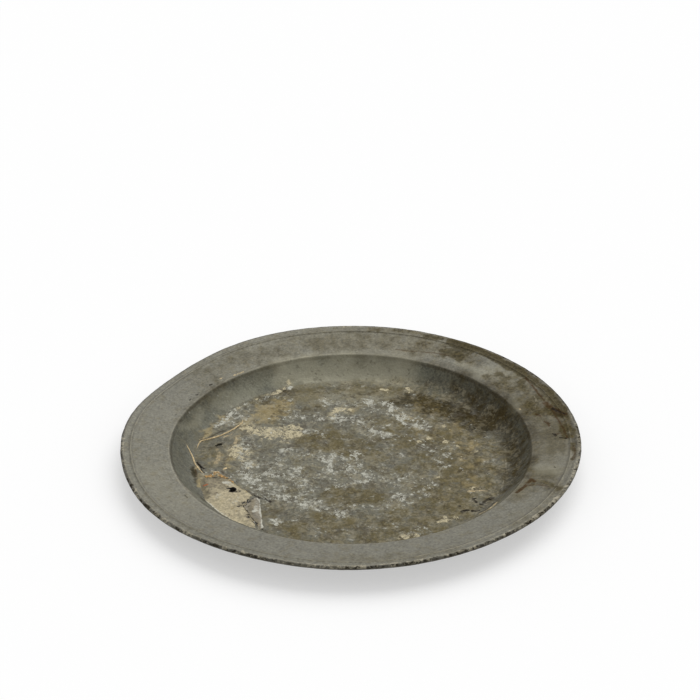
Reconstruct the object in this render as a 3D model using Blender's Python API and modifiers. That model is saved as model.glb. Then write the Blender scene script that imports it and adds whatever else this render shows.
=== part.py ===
"""Old pewter platter with an early putty repair.

Metres, +Z up. The origin is the middle of the flat underside, where the platter meets the table.
Angles are in degrees, anticlockwise from +X as seen from above, and -Y is the front.

The floor, the booge (the curved wall between floor and rim) and the rim are one casting. A tear beside
the foot of the booge is bridged by a putty fill whose end has broken off, and two cracks that run out of
it are sealed by beads of the same putty.
"""

import math

import bmesh
import bpy
from mathutils import Vector

# The casting
RIM_DIAMETER = 0.4255
RIM_WIDTH = 0.04525
RIM_RISE = 0.0065
BOOGE_WIDTH = 0.0217
WELL_DEPTH = 0.0165
BOOGE_CURVE = 1.5
WALL = 0.0025
EDGE_THICKNESS = 0.0038
EDGE_BAND = 0.0088
REED_WIDTH = 0.0018
REED_HEIGHT = 0.0006
RIM_SHARPNESS = 0.0008

# Where the rim has been bent out of flat: angle, drop of the outer edge, and spread in degrees
RIM_BENDS = (
    (147.0, 0.0076, 15.0),
    (207.0, 0.0052, 19.0),
    (268.0, 0.0014, 16.0),
    (85.0, -0.0011, 22.0),
)
BEND_CURVE = 1.4

# The putty repair
FIT_GAP = 0.0003
TEAR_CLEARANCE = 0.0006
FILL_START = 187.0
FILL_END = 239.0
FILL_WIDTH = 0.0330
FILL_FULLNESS = 0.6
FOOT_MARGIN = 0.0018
FILL_CAP = 0.0016
FILL_LAP = 0.0045
FILL_EDGE_ROUND = 0.0007
BREAK_ANGLE = 224.5
BREAK_LEAN = 52.0
BREAK_WIDTH = 0.0009
FILL_HOLE_MARGIN = 0.0095
FILL_HOLE_ANGLE = 206.3
FILL_HOLE_DIAMETER = 0.0066

# The cracks and the hole that the repair left open. A crack's route is a list of places, each a distance
# in millimetres from the foot of the booge towards the middle, and an angle
BEAD_DIAMETER = 0.0024
BEAD_TAPER = 0.45
BACK_CRACK = (
    (1.6, 172.6), (2.6, 169.6), (3.7, 167.0), (8.3, 165.8), (13.8, 162.7), (17.8, 159.2), (21.2, 155.4), (23.8, 152.0)
)
SIDE_CRACK = ((-8.7, 172.5), (-4.9, 174.9), (-1.3, 178.0), (1.4, 182.7), (4.3, 186.3))
GAP_OFFSET = 0.0034
GAP_WIDTH = 0.0012
GAP_START = 182.0
GAP_END = 186.0
NAIL_HOLE_INSET = 0.0193
NAIL_HOLE_ANGLE = 167.8
NAIL_HOLE_DIAMETER = 0.0046

# How finely curves are divided
TURN_STEPS = 96
BOOGE_STEPS = 9
EDGE_STEPS = 6
OUTLINE_STEPS = 26
BEAD_POINTS = 15
CUTTER_SIDES = 20
MERGE_DISTANCE = 0.00005

# Sizes that follow from those above
RIM_RADIUS = RIM_DIAMETER / 2
WELL_RADIUS = RIM_RADIUS - RIM_WIDTH
FLOOR_RADIUS = WELL_RADIUS - BOOGE_WIDTH
WELL_EDGE_HEIGHT = WALL + WELL_DEPTH
FILL_OUTER_RADIUS = FLOOR_RADIUS - FOOT_MARGIN
CUTTER_REACH = 10 * WALL
MILLIMETRE = 0.001

PEWTER = ((0.19, 0.185, 0.155), 0.62, 0.55)
PALE_PUTTY = ((0.42, 0.37, 0.25), 0.85, 0.0)
GREY_PUTTY = ((0.24, 0.225, 0.19), 0.75, 0.0)
TAN_PUTTY = ((0.40, 0.31, 0.17), 0.85, 0.0)


def clear_scene():
    for thing in list(bpy.data.objects):
        bpy.data.objects.remove(thing, do_unlink=True)


def new_collection(name):
    collection = bpy.data.collections.new(name)
    bpy.context.scene.collection.children.link(collection)
    return collection


def material(name, look):
    colour, roughness, metallic = look
    made = bpy.data.materials.new(name)
    made.use_nodes = True
    shader = made.node_tree.nodes["Principled BSDF"]
    shader.inputs["Base Color"].default_value = (*colour, 1.0)
    shader.inputs["Roughness"].default_value = roughness
    shader.inputs["Metallic"].default_value = metallic
    return made


def on_circle(radius, angle, height=0.0):
    turn = math.radians(angle)
    return Vector((radius * math.cos(turn), radius * math.sin(turn), height))


def add_object(name, data, collection, look=None):
    thing = bpy.data.objects.new(name, data)
    collection.objects.link(thing)
    if look is not None:
        data.materials.append(look)
    return thing


def to_mesh_object(thing, collection, look=None):
    """Replaces a curve, or an object with modifiers, by the mesh that it evaluates to."""
    graph = bpy.context.evaluated_depsgraph_get()
    mesh = bpy.data.meshes.new_from_object(thing.evaluated_get(graph))
    place = thing.matrix_world.copy()
    name = thing.name
    bpy.data.objects.remove(thing, do_unlink=True)
    shape = bmesh.new()
    shape.from_mesh(mesh)
    bmesh.ops.remove_doubles(shape, verts=shape.verts, dist=MERGE_DISTANCE)
    bmesh.ops.recalc_face_normals(shape, faces=shape.faces)
    shape.to_mesh(mesh)
    shape.free()
    mesh.materials.clear()
    made = add_object(name, mesh, collection, look)
    made.matrix_world = place
    return made


def cut(thing, cutter, operation="DIFFERENCE"):
    modifier = thing.modifiers.new(cutter.name, "BOOLEAN")
    modifier.operation = operation
    modifier.object = cutter


def as_cutter(thing):
    thing.hide_render = True
    thing.display_type = "WIRE"
    return thing


def bend_drop(radius, angle):
    """How far the bent rim lies below a flat one."""
    reach = (radius - FLOOR_RADIUS) / (RIM_RADIUS - FLOOR_RADIUS)
    if reach <= 0:
        return 0.0
    drop = 0.0
    for middle, depth, spread in RIM_BENDS:
        away = (angle - middle + 180) % 360 - 180
        drop += depth * math.exp(-0.5 * (away / spread) ** 2)
    return drop * min(reach, 1.0) ** BEND_CURVE


def booge_height(radius):
    """Height of the upper surface of the floor and the booge."""
    share = min(max((radius - FLOOR_RADIUS) / BOOGE_WIDTH, 0.0), 1.0)
    return WALL + WELL_DEPTH * share**BOOGE_CURVE


def booge_slope(radius):
    share = min(max((radius - FLOOR_RADIUS) / BOOGE_WIDTH, 0.0), 1.0)
    return math.atan(BOOGE_CURVE * WELL_DEPTH / BOOGE_WIDTH * share ** (BOOGE_CURVE - 1))


def rim_height(radius):
    return WELL_EDGE_HEIGHT + RIM_RISE * (radius - WELL_RADIUS) / RIM_WIDTH


def profile_points():
    """Half section of the casting, from the middle of the top, round the rim, to the middle of the base."""
    booge = [FLOOR_RADIUS + BOOGE_WIDTH * step / BOOGE_STEPS for step in range(BOOGE_STEPS)]
    reed = RIM_RADIUS - EDGE_BAND
    edge_round = EDGE_THICKNESS / 2
    edge_middle = RIM_RADIUS - edge_round
    edge_height = rim_height(edge_middle) - edge_round
    points = [(0.0, WALL), (FLOOR_RADIUS / 2, WALL)]
    points += [(radius, booge_height(radius)) for radius in booge]
    points += [
        (WELL_RADIUS - RIM_SHARPNESS, WELL_EDGE_HEIGHT - RIM_SHARPNESS),
        (WELL_RADIUS + RIM_SHARPNESS, rim_height(WELL_RADIUS + RIM_SHARPNESS)),
        (reed - REED_WIDTH, rim_height(reed - REED_WIDTH)),
        (reed - REED_WIDTH / 2, rim_height(reed) + REED_HEIGHT),
        (reed, rim_height(reed)),
        (edge_middle - edge_round, rim_height(edge_middle - edge_round)),
    ]
    for step in range(EDGE_STEPS + 1):
        turn = math.pi / 2 - math.pi * step / EDGE_STEPS
        points.append((edge_middle + edge_round * math.cos(turn), edge_height + edge_round * math.sin(turn)))
    points.append((reed, rim_height(reed) - WALL))
    points.append((WELL_RADIUS + WALL, rim_height(WELL_RADIUS) - WALL))
    for radius in reversed(booge):
        slope = booge_slope(radius)
        points.append((radius + WALL * math.sin(slope), booge_height(radius) - WALL * math.cos(slope)))
    points += [(FLOOR_RADIUS / 2, 0.0), (0.0, 0.0)]
    return points


def turned_casting(parts, look):
    points = profile_points()
    mesh = bpy.data.meshes.new("platter_body")
    edges = [(index, index + 1) for index in range(len(points) - 1)]
    mesh.from_pydata([(radius, 0.0, height) for radius, height in points], edges, [])
    casting = add_object("platter_body", mesh, parts)
    screw = casting.modifiers.new("Turned", "SCREW")
    screw.axis = "Z"
    screw.steps = TURN_STEPS
    screw.render_steps = TURN_STEPS
    screw.use_merge_vertices = True
    screw.merge_threshold = MERGE_DISTANCE
    casting = to_mesh_object(casting, parts, look)
    for vertex in casting.data.vertices:
        spot = vertex.co
        spot.z -= bend_drop(math.hypot(spot.x, spot.y), math.degrees(math.atan2(spot.y, spot.x)))
    casting.data.shade_smooth()
    casting.data.set_sharp_from_angle(angle=math.radians(35))
    return casting


def fill_outline(inset):
    """Plan of the fill, whose outer side follows the foot of the booge and whose inner side swells."""
    outer = FILL_OUTER_RADIUS - inset
    trim = math.degrees(inset / outer)
    start = FILL_START + trim
    sweep = FILL_END - trim - start
    width = FILL_WIDTH - 2 * inset
    turns = [start + sweep * step / OUTLINE_STEPS for step in range(OUTLINE_STEPS + 1)]
    inner = []
    for turn in turns[1:-1]:
        swell = math.sin(math.pi * (turn - start) / sweep) ** FILL_FULLNESS
        inner.append(on_circle(outer - width * swell, turn))
    return [on_circle(outer, turn) for turn in turns] + inner[::-1]


def flat_plate(name, outline, low, high, collection, look=None):
    """A plate with the given outline between two heights."""
    curve = bpy.data.curves.new(name, "CURVE")
    curve.dimensions = "2D"
    curve.fill_mode = "BOTH"
    curve.extrude = (high - low) / 2
    spline = curve.splines.new("POLY")
    spline.points.add(len(outline) - 1)
    for point, place in zip(spline.points, outline, strict=True):
        point.co = (place.x, place.y, 0.0, 1.0)
    spline.use_cyclic_u = True
    plate = add_object(name, curve, collection)
    plate.location.z = (low + high) / 2
    bpy.context.view_layer.update()
    return to_mesh_object(plate, collection, look)


def upright_cutter(name, place, diameter, cutters):
    bpy.ops.mesh.primitive_cylinder_add(
        vertices=CUTTER_SIDES, radius=diameter / 2, depth=2 * CUTTER_REACH, location=place
    )
    cutter = bpy.context.object
    cutter.name = name
    for collection in list(cutter.users_collection):
        collection.objects.unlink(cutter)
    cutters.objects.link(cutter)
    return as_cutter(cutter)


def break_cutter(name, side, cutters):
    """A block that takes away everything on one side of the break across the fill."""
    size = RIM_DIAMETER
    bpy.ops.mesh.primitive_cube_add(size=size)
    block = bpy.context.object
    block.name = name
    for collection in list(block.users_collection):
        collection.objects.unlink(block)
    cutters.objects.link(block)
    middle = on_circle(FILL_OUTER_RADIUS - FILL_WIDTH / 2, BREAK_ANGLE)
    lean = math.radians(BREAK_ANGLE + BREAK_LEAN)
    across = Vector((-math.sin(lean), math.cos(lean), 0.0)) * side
    block.rotation_euler.z = lean
    block.location = middle + across * (size / 2 - BREAK_WIDTH / 2)
    return as_cutter(block)


def round_top(piece):
    bevel = piece.modifiers.new("Worn edge", "BEVEL")
    bevel.width = FILL_EDGE_ROUND
    bevel.segments = 2
    bevel.limit_method = "ANGLE"
    bevel.angle_limit = math.radians(60)


def fill_pieces(parts, cutters, looks):
    """The putty fill as its two broken pieces: a cap on the floor, and a plug down through the tear."""
    seat = WALL + FIT_GAP
    hole = on_circle(FILL_OUTER_RADIUS - FILL_WIDTH + FILL_HOLE_MARGIN, FILL_HOLE_ANGLE)
    made = []
    for name, look, side in (("repair_fill", looks[0], 1), ("repair_fill_end", looks[1], -1)):
        piece = flat_plate(name, fill_outline(0.0), seat, seat + FILL_CAP, parts, look)
        round_top(piece)
        plug = flat_plate(name + "_plug", fill_outline(FILL_LAP), FIT_GAP, seat + FILL_CAP / 2, cutters)
        cut(piece, as_cutter(plug), "UNION")
        cut(piece, break_cutter(name + "_break", side, cutters))
        made.append(piece)
    cut(made[0], upright_cutter("fill_hole", hole, FILL_HOLE_DIAMETER, cutters))
    return made


def smooth_route(stations, points):
    """Radii and angles along a smooth curve through a crack's stations."""
    count = len(stations)
    found = []
    for step in range(points):
        along = step * (count - 1) / (points - 1)
        index = min(int(along), count - 2)
        share = along - index
        around = [stations[min(max(index + offset, 0), count - 1)] for offset in (-1, 0, 1, 2)]
        spot = []
        for before, start, end, after in zip(*around, strict=True):
            spot.append(
                0.5
                * (
                    2 * start
                    + (end - before) * share
                    + (2 * before - 5 * start + 4 * end - after) * share**2
                    + (3 * start - before - 3 * end + after) * share**3
                )
            )
        found.append((FLOOR_RADIUS - spot[0] * MILLIMETRE, spot[1]))
    return found


def putty_bead(name, stations, parts, look):
    """A bead of putty that lies on the casting along a crack, thinner towards its ends."""
    clear = BEAD_DIAMETER / 2 + FIT_GAP
    curve = bpy.data.curves.new(name, "CURVE")
    curve.dimensions = "3D"
    curve.bevel_depth = BEAD_DIAMETER / 2
    curve.bevel_resolution = 2
    curve.use_fill_caps = True
    route = smooth_route(stations, BEAD_POINTS)
    spline = curve.splines.new("POLY")
    spline.points.add(len(route) - 1)
    for index, (radius, angle) in enumerate(route):
        slope = booge_slope(radius)
        height = booge_height(radius) - bend_drop(radius, angle) + clear * math.cos(slope)
        place = on_circle(radius - clear * math.sin(slope), angle, height)
        swell = math.sin(math.pi * index / (len(route) - 1))
        spline.points[index].co = (*place, 1.0)
        spline.points[index].radius = BEAD_TAPER + (1 - BEAD_TAPER) * swell
    return to_mesh_object(add_object(name, curve, parts), parts, look)


def crack_cutter(cutters):
    """The stretch of the side crack that stands open, beside its bead."""
    inner = []
    outer = []
    for radius, angle in smooth_route(SIDE_CRACK, 2 * BEAD_POINTS):
        if GAP_START < angle < GAP_END:
            outer.append(on_circle(radius - GAP_OFFSET + GAP_WIDTH / 2, angle))
            inner.append(on_circle(radius - GAP_OFFSET - GAP_WIDTH / 2, angle))
    return as_cutter(flat_plate("open_crack", outer + inner[::-1], -CUTTER_REACH, CUTTER_REACH, cutters))


def build():
    clear_scene()
    parts = new_collection("pewter_platter")
    cutters = new_collection("cutters")
    pewter = material("pewter", PEWTER)
    putty = (material("pale_putty", PALE_PUTTY), material("grey_putty", GREY_PUTTY))
    tan = material("tan_putty", TAN_PUTTY)

    casting = turned_casting(parts, pewter)
    tear = flat_plate("tear", fill_outline(FILL_LAP - TEAR_CLEARANCE), -CUTTER_REACH, CUTTER_REACH, cutters)
    cut(casting, as_cutter(tear))
    cut(casting, crack_cutter(cutters))
    nail = on_circle(FLOOR_RADIUS - NAIL_HOLE_INSET, NAIL_HOLE_ANGLE)
    cut(casting, upright_cutter("nail_hole", nail, NAIL_HOLE_DIAMETER, cutters))

    fill_pieces(parts, cutters, putty)
    putty_bead("back_crack_bead", BACK_CRACK, parts, tan)
    putty_bead("side_crack_bead", SIDE_CRACK, parts, tan)


build()
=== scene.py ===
"""Looks of an old pewter platter with a putty repair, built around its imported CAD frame.

Metres, +Z up, in the frame's own axes: the platter rests on z = 0 and -Y is the front of the photograph.
Places on the platter are written in millimetres from its middle, as (x, y) seen from above.
"""

import math

import bmesh
import bpy
import numpy as np
from bpy.props import FloatProperty, FloatVectorProperty, IntProperty, PointerProperty
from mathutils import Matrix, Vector, noise


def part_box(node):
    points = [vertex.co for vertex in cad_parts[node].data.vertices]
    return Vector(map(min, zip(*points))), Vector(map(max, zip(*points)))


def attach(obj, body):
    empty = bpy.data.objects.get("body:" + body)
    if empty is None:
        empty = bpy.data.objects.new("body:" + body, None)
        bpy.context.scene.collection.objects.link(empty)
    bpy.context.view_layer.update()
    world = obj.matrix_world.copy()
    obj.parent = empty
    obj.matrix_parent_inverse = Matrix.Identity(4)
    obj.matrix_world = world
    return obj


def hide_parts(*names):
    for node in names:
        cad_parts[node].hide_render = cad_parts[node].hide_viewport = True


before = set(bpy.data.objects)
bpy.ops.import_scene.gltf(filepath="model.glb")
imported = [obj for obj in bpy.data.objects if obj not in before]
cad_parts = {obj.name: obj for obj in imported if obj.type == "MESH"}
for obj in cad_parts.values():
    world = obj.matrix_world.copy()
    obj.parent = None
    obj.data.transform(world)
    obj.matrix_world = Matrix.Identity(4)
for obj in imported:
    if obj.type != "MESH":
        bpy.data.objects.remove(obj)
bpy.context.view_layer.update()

bl_info = {
    "name": "Pewter platter",
    "version": (1, 0, 0),
    "blender": (4, 5, 0),
    "location": "View3D > Sidebar > Platter",
    "description": "Builds an old pewter platter with a putty repair, and a plain stage to show it on",
    "category": "Add Mesh",
}

MM = 0.001
BODY = "root"
PLUG_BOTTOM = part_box("repair_fill")[0][2]
CASTING_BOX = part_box("platter_body")
WHITE = (1.0, 1.0, 1.0, 1.0)

# Heights in metres. Holes stop a little above the underside, so that they look dark against the white stage
HOLE_BOTTOM = 0.6 * MM
CUT_REACH = 20 * MM
FILL_CAP = 1.9 * MM
FILL_END_CAP = 2.1 * MM
PUTTY_GRAIN = 0.45 * MM

# The camera that was fitted to the photograph: degrees above the floor and metres from the platter's middle,
# then, in pixels, the picture's side, the scale at the platter's middle and where that middle falls
CAMERA_ELEVATION = 31.7
CAMERA_DISTANCE = 3.0
PHOTO_SIDE = 700
PIXELS_PER_METRE = 1077.9
MIDDLE_COLUMN = 350.8
MIDDLE_ROW = 462.4

# Bends of the rim, as in the CAD: angle in degrees, drop of the edge in millimetres, spread in degrees
RIM_BENDS = ((147.0, 7.6, 15.0), (207.0, 5.2, 19.0), (268.0, 1.4, 16.0), (85.0, -1.1, 22.0))
BEND_CURVE = 1.4
# Where the blow that bent the rim also pushed the well's edge in: angle, depth and spread
WELL_PUSH = (216.0, 3.4, 9.0)

# Marks on the metal, some of them painted shade and painted light. Each is a line of places, the half-width
# of the mark, and how strong it is
CRUST_ZONES = (
    (((-90, -12), (-50, -30)), 16, 0.66),
    (((-94, -30), (-76, -62)), 14, 0.64),
    (((-22, 4), (-4, -10), (12, -24)), 15, 0.6),
    (((-66, -54), (-40, -80), (-10, -90)), 11, 0.66),
    (((-4, -88), (34, -78)), 9, 0.44),
    (((40, -70), (72, -48)), 10, 0.54),
    (((24, -26), (60, -42)), 16, 0.42),
    (((-104, 30), (-88, -8)), 12, 0.5),
    (((-70, 78), (-20, 72)), 9, 0.5),
    (((-26, 104), (20, 98)), 9, 0.54),
    (((36, 98), (50, 72), (68, 60)), 9, 0.62),
    (((-14, 74), (10, 66)), 8, 0.68),
    (((22, 52), (40, 40)), 9, 0.62),
    (((62, 34), (92, 10)), 12, 0.46),
    (((-44, 56), (-26, 44)), 9, 0.54),
    (((82, 6), (86, -14)), 6, 0.58),
    (((-60, -10), (-30, 10)), 22, 0.34),
    (((-118, 90), (-100, 70)), 10, 0.42),
    (((50, -126), (66, -118)), 9, 0.5),
    (((-115, 72), (-105, 88), (-88, 106), (-70, 120)), 8, 0.5),
)
WHITE_CRUST = (
    (((8, 107), (18, 104)), 5, 0.9),
    (((18, 100), (20, 94)), 3, 0.7),
    (((6, 94), (14, 92)), 4, 0.5),
    (((33, 100), (40, 95)), 5, 0.95),
    (((38, 92), (37, 84), (46, 79)), 4, 0.85),
    (((44, 78), (48, 68)), 4, 0.9),
    (((52, 64), (66, 61)), 4, 0.9),
    (((68, 56), (82, 50), (84, 42)), 2.5, 0.6),
    (((2, 76), (4, 68)), 5, 0.9),
    (((-12, 72), (-2, 69)), 5, 0.9),
    (((10, 73), (18, 70)), 3, 0.5),
    (((20, 52), (28, 49), (34, 43)), 4.5, 0.95),
    (((-36, 54), (-28, 46)), 5, 0.75),
    (((-45, 72), (-20, 76)), 6, 0.55),
    (((-60, 88), (-42, 86)), 5, 0.5),
    (((-25, 104), (-22, 100)), 3, 0.6),
    (((-12, 106), (-4, 105)), 3, 0.6),
    (((-98, 12), (-94, -6), (-97, -16)), 7, 0.85),
    (((-86, -17), (-64, -18), (-48, -16)), 3.5, 0.65),
    (((-92, -28), (-72, -24), (-62, -30)), 8, 0.65),
    (((-86, -42), (-68, -46)), 7, 0.5),
    (((-74, -60), (-60, -66)), 4, 0.85),
    (((-58, -72), (-46, -77), (-36, -79)), 3, 0.8),
    (((-18, -86), (-6, -90)), 3.5, 0.8),
    (((-20, 0), (-20, -12), (-18, -22)), 3.5, 0.85),
    (((-28, -24), (-8, -22), (4, -24)), 4, 0.6),
    (((-12, -46), (-2, -42), (10, -38), (16, -37)), 4, 0.9),
    (((-24, -52), (-16, -54)), 3, 0.5),
    (((-70, -104), (-66, -110)), 4, 0.85),
    (((-56, -47), (-46, -50)), 3, 0.5),
    (((4, 16), (6, 4), (8, -8), (10, -18)), 5, 0.7),
    (((20, -66), (26, -70)), 3, 0.35),
    (((2, -82), (14, -84)), 4, 0.5),
    (((36, -24), (46, -38), (42, -50)), 6, 0.4),
    (((66, -54), (74, -46)), 3, 0.8),
    (((52, -74), (60, -68), (64, -60)), 3.5, 0.6),
    (((80, 2), (84, -6), (86, -14)), 3, 0.65),
    (((86, 12), (96, 8)), 4, 0.55),
    (((102, -16), (108, -20)), 4, 0.7),
    (((60, -128), (70, -122)), 4, 0.5),
    (((-127, 58), (-124, 66), (-117, 79), (-110, 90)), 3.5, 0.85),
    (((-110, 90), (-98, 104), (-86, 112), (-75, 122), (-58, 132)), 2.5, 0.75),
)
CREAM_CRUST = (
    (((-96, 56), (-80, 48), (-66, 52), (-54, 44)), 10, 0.95),
    (((-82, 40), (-62, 36)), 6, 0.6),
    (((-62, 58), (-50, 58)), 4, 0.8),
    (((-14, 90), (-6, 88)), 5, 0.8),
    (((-20, 80), (-16, 74)), 4, 0.6),
    (((28, 129), (33, 127)), 3, 0.8),
    (((55, 130), (58, 122)), 4, 0.75),
    (((-106, 20), (-98, 8), (-94, -8)), 8, 0.8),
    (((48, -132), (56, -129)), 5, 0.95),
    (((82, -104), (94, -102)), 5, 0.6),
    (((110, -52), (118, -54)), 5, 0.5),
    (((122, -80), (128, -90)), 4, 0.6),
    (((-60, 138), (-62, 132)), 3, 0.8),
    (((-64, 129), (-84, 116), (-104, 98), (-116, 82)), 2.5, 0.6),
    (((80, -31), (81, -30)), 3, 0.7),
    (((116, 17), (116, 16)), 3, 0.7),
    (((103, 4), (104, 2)), 3, 0.6),
    (((73, 38), (74, 38)), 3, 0.75),
    (((62, 33), (63, 33)), 3, 0.7),
    (((89, 32), (90, 31)), 3, 0.75),
    (((95, 54), (96, 53)), 3, 0.75),
    (((87, 62), (88, 61)), 3, 0.75),
    (((101, 24), (101, 23)), 3, 0.7),
    (((-26, -80), (-27, -81)), 3, 0.6),
)
OCHRE_STAIN = (
    (((-96, 66), (-84, 78), (-64, 98)), 12, 0.8),
    (((-108, 28), (-108, 46), (-104, 58)), 7, 0.6),
    (((-136, 52), (-128, 62), (-122, 74)), 5, 0.7),
    (((-122, 18), (-121, 4), (-124, -8)), 5, 0.5),
    (((86, 34), (100, 44), (108, 58)), 14, 0.36),
    (((118, 36), (112, 16)), 7, 0.6),
    (((108, -4), (112, -12)), 4, 0.5),
    (((-4, 92), (2, 88)), 4, 0.5),
    (((-112, 24), (-110, 6), (-114, -12)), 4.5, 0.6),
    (((-128, -6), (-120, -16)), 4, 0.6),
    (((-141.5, -14), (-138.5, -30), (-136.5, -46)), 3, 0.7),
    (((60, 78), (100, 44), (110, 0), (98, -52)), 24, 0.32),
    (((-136, 42), (-132, 53), (-126.5, 64), (-120, 77)), 3.5, 1.0),
)
BROWN_STAIN = (
    (((60, 110), (80, 96), (104, 82), (116, 60)), 18, 0.9),
    (((-80, 112), (-56, 126)), 9, 0.4),
    (((84, 66), (104, 44), (112, 16), (108, -8)), 9, 0.42),
    (((98, -91), (118, -86), (131, -70)), 9, 0.5),
    (((20, 120), (60, 118)), 12, 0.18),
    (((66, 178), (96, 164), (118, 152)), 10, 0.45),
    (((138, 114), (164, 90), (178, 58)), 14, 0.75),
    (((170, 100), (180, 74), (188, 50)), 6, 0.5),
    (((188, 50), (196, 40), (200, 22), (200, 8)), 5, 0.95),
    (((97, 182), (132, 158), (162, 127), (187, 87), (201.5, 43), (206, 7)), 4.5, 0.95),
    (((206, -8), (203, -34)), 3.5, 0.7),
    (((20, 207), (60, 199), (98, 183)), 4, 0.55),
    (((168, 8), (169, -24), (165, -56)), 5, 0.45),
    (((152, -82), (160, -70), (178, -78), (186, -84)), 7, 0.6),
    (((92, 160), (104, 158), (117, 150)), 7, 0.6),
    (((44, 173.6), (73, 167.5), (93, 160)), 3, 0.4),
    (((-146, -14), (-142.5, -33), (-140, -50), (-138, -65), (-135, -76)), 3, 0.6),
)
# Partly painted shade and partly dark stain: painted shade over the dark patina of the right-hand wall and
# under the well's edge at the back left, a darker right side of the rim, and dark brown staining on the rim's
# outer band
SHADED = (
    (((150, -50), (158, -20), (158, 10), (152, 45), (138, 76), (120, 104)), 15, 1.0),
    (((120, 104), (104, 124)), 13, 0.85),
    (((104, 128), (84, 142)), 9, 0.55),
    (((84, 144), (50, 157), (10, 164)), 6, 0.45),
    (((99, 185), (134, 162), (165, 131), (191, 90), (205, 46), (209, 8), (207, -30)), 4.5, 0.6),
    (((176, 84), (190, 40), (192, -10), (186, -60)), 20, 0.26),
    (((186, 56), (194, 40), (200, 20)), 5, 0.6),
    (((172, 104), (182, 78), (190, 54)), 4, 0.45),
    (((104, 160), (124, 148)), 7, 0.4),
    (((-156, -20), (-157, 20), (-146, 62), (-120, 104)), 10, 0.3),
    (((-159, 40), (-148, 72), (-129, 103), (-103, 129), (-74, 148)), 5, 0.5),
)
# Pale marks, partly worn metal and partly painted light: the first lightens the wall at the back as painted
# light
PALE_WEAR_AND_LIGHT = (
    (((-64, 146), (0, 156), (50, 150)), 12, 0.95),
    (((-150, -110), (-170, -80), (-180, -50)), 14, 0.25),
    (((-40, 112), (10, 117), (44, 106)), 11, 0.55),
    (((-124, 94), (-107, 111), (-91, 134), (-76, 146)), 7, 0.35),
    (((-159, 38), (-154, 44), (-148, 54), (-143, 62)), 3, 0.5),
    (((-146, 66), (-141, 74)), 4, 0.5),
    (((172, -44), (184, -50)), 9, 0.7),
    (((176, -8), (190, -34)), 14, 0.15),
    (((121, 132), (140, 128), (150, 118)), 9, 0.45),
    (((107, 147), (113, 141)), 4, 0.5),
    (((154, 78), (158, 66)), 5, 0.45),
)
SMOOTH_GREY = (
    (((-134, 28), (-126, 30), (-116, 40)), 9, 1.0),
    (((-132, 10), (-126, -8)), 12, 1.0),
)
# Dark streaks and painted shadows: the first stroke is a painted shadow along the fill's inner edge, the
# third a painted shadow beside the back bead, the fourth painted shade along the open crack
STREAK_AND_SHADOW_MARKS = (
    (((-121, -19), (-112.5, -29.5), (-103.5, -40.5), (-95.5, -52.5), (-90, -62)), 1.6, 0.7),
    (((-138, -20), (-139, -40), (-132, -62), (-118, -86)), 1.6, 0.5),
    (((-141, 35), (-135, 38), (-128, 43.5), (-121, 50), (-114.5, 56)), 1.8, 0.7),
    (((-142.5, -5), (-139.5, -10.5), (-136.5, -16)), 1.8, 0.8),
    (((-146, 14), (-143, 4)), 1.4, 0.6),
    (((190, 54), (198, 44)), 4, 0.8),
    (((100, 86), (108, 80)), 6, 0.8),
    (((-146, 90), (-152, 82)), 2, 0.5),
    (((-18, 157), (20, 160)), 3, 0.35),
)
PATINA = (
    (((62, 40), (98, 20), (104, -30), (84, -78)), 34, 0.85),
    (((-40, -118), (10, -120), (66, -112)), 26, 0.75),
    (((-70, 104), (-20, 122), (40, 118), (84, 92)), 24, 0.65),
    (((-34, 36), (-10, 32), (4, 24)), 20, 0.85),
    (((-12, -62), (16, -64)), 15, 1.0),
    (((-132, 26), (-126, 0)), 14, 0.5),
    (((-40, -40), (-52, -62)), 10, 0.5),
    (((34, 60), (44, 30)), 20, 0.6),
    (((30, 0), (60, -20)), 18, 0.5),
    (((-70, -88), (-60, -104)), 14, 0.7),
    (((-30, 186), (30, 188), (70, 176)), 18, 0.6),
    (((-140, 124), (-100, 156), (-60, 176)), 18, 0.45),
    (((150, 110), (178, 70)), 20, 0.35),
    (((172, 70), (186, 40), (190, 10), (184, -12)), 18, 0.8),
    (((150, -84), (166, -58), (180, -60)), 14, 0.7),
    (((188, -60), (178, -100), (150, -140)), 14, 0.4),
    (((-20, -196), (40, -196), (90, -184)), 9, 0.4),
)
EDGE_CRUST = (
    (((-210, 0), (-182, 105), (-105, 182), (0, 210)), 16, 0.35),
    (((0, 210), (105, 182), (182, 105), (210, 0)), 16, 0.75),
    (((210, 0), (182, -105), (105, -182), (0, -210)), 16, 0.95),
    (((0, -210), (-105, -182), (-182, -105), (-210, 0)), 16, 0.8),
)
DARK_PITS = (
    (((203, -55), (203, -56)), 1.6, 0.8),
    (((180, -110), (180, -109)), 1.5, 0.7),
    (((4, 113), (9, 113)), 1.4, 0.6),
    (((-63, -88), (-61, -89)), 1.4, 0.7),
    (((101, -89.5), (106, -89)), 2.2, 0.52),
    (((111, -72), (114.5, -75.5)), 2.2, 0.52),
    (((122, -73), (127, -69)), 2.4, 0.48),
)
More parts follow.
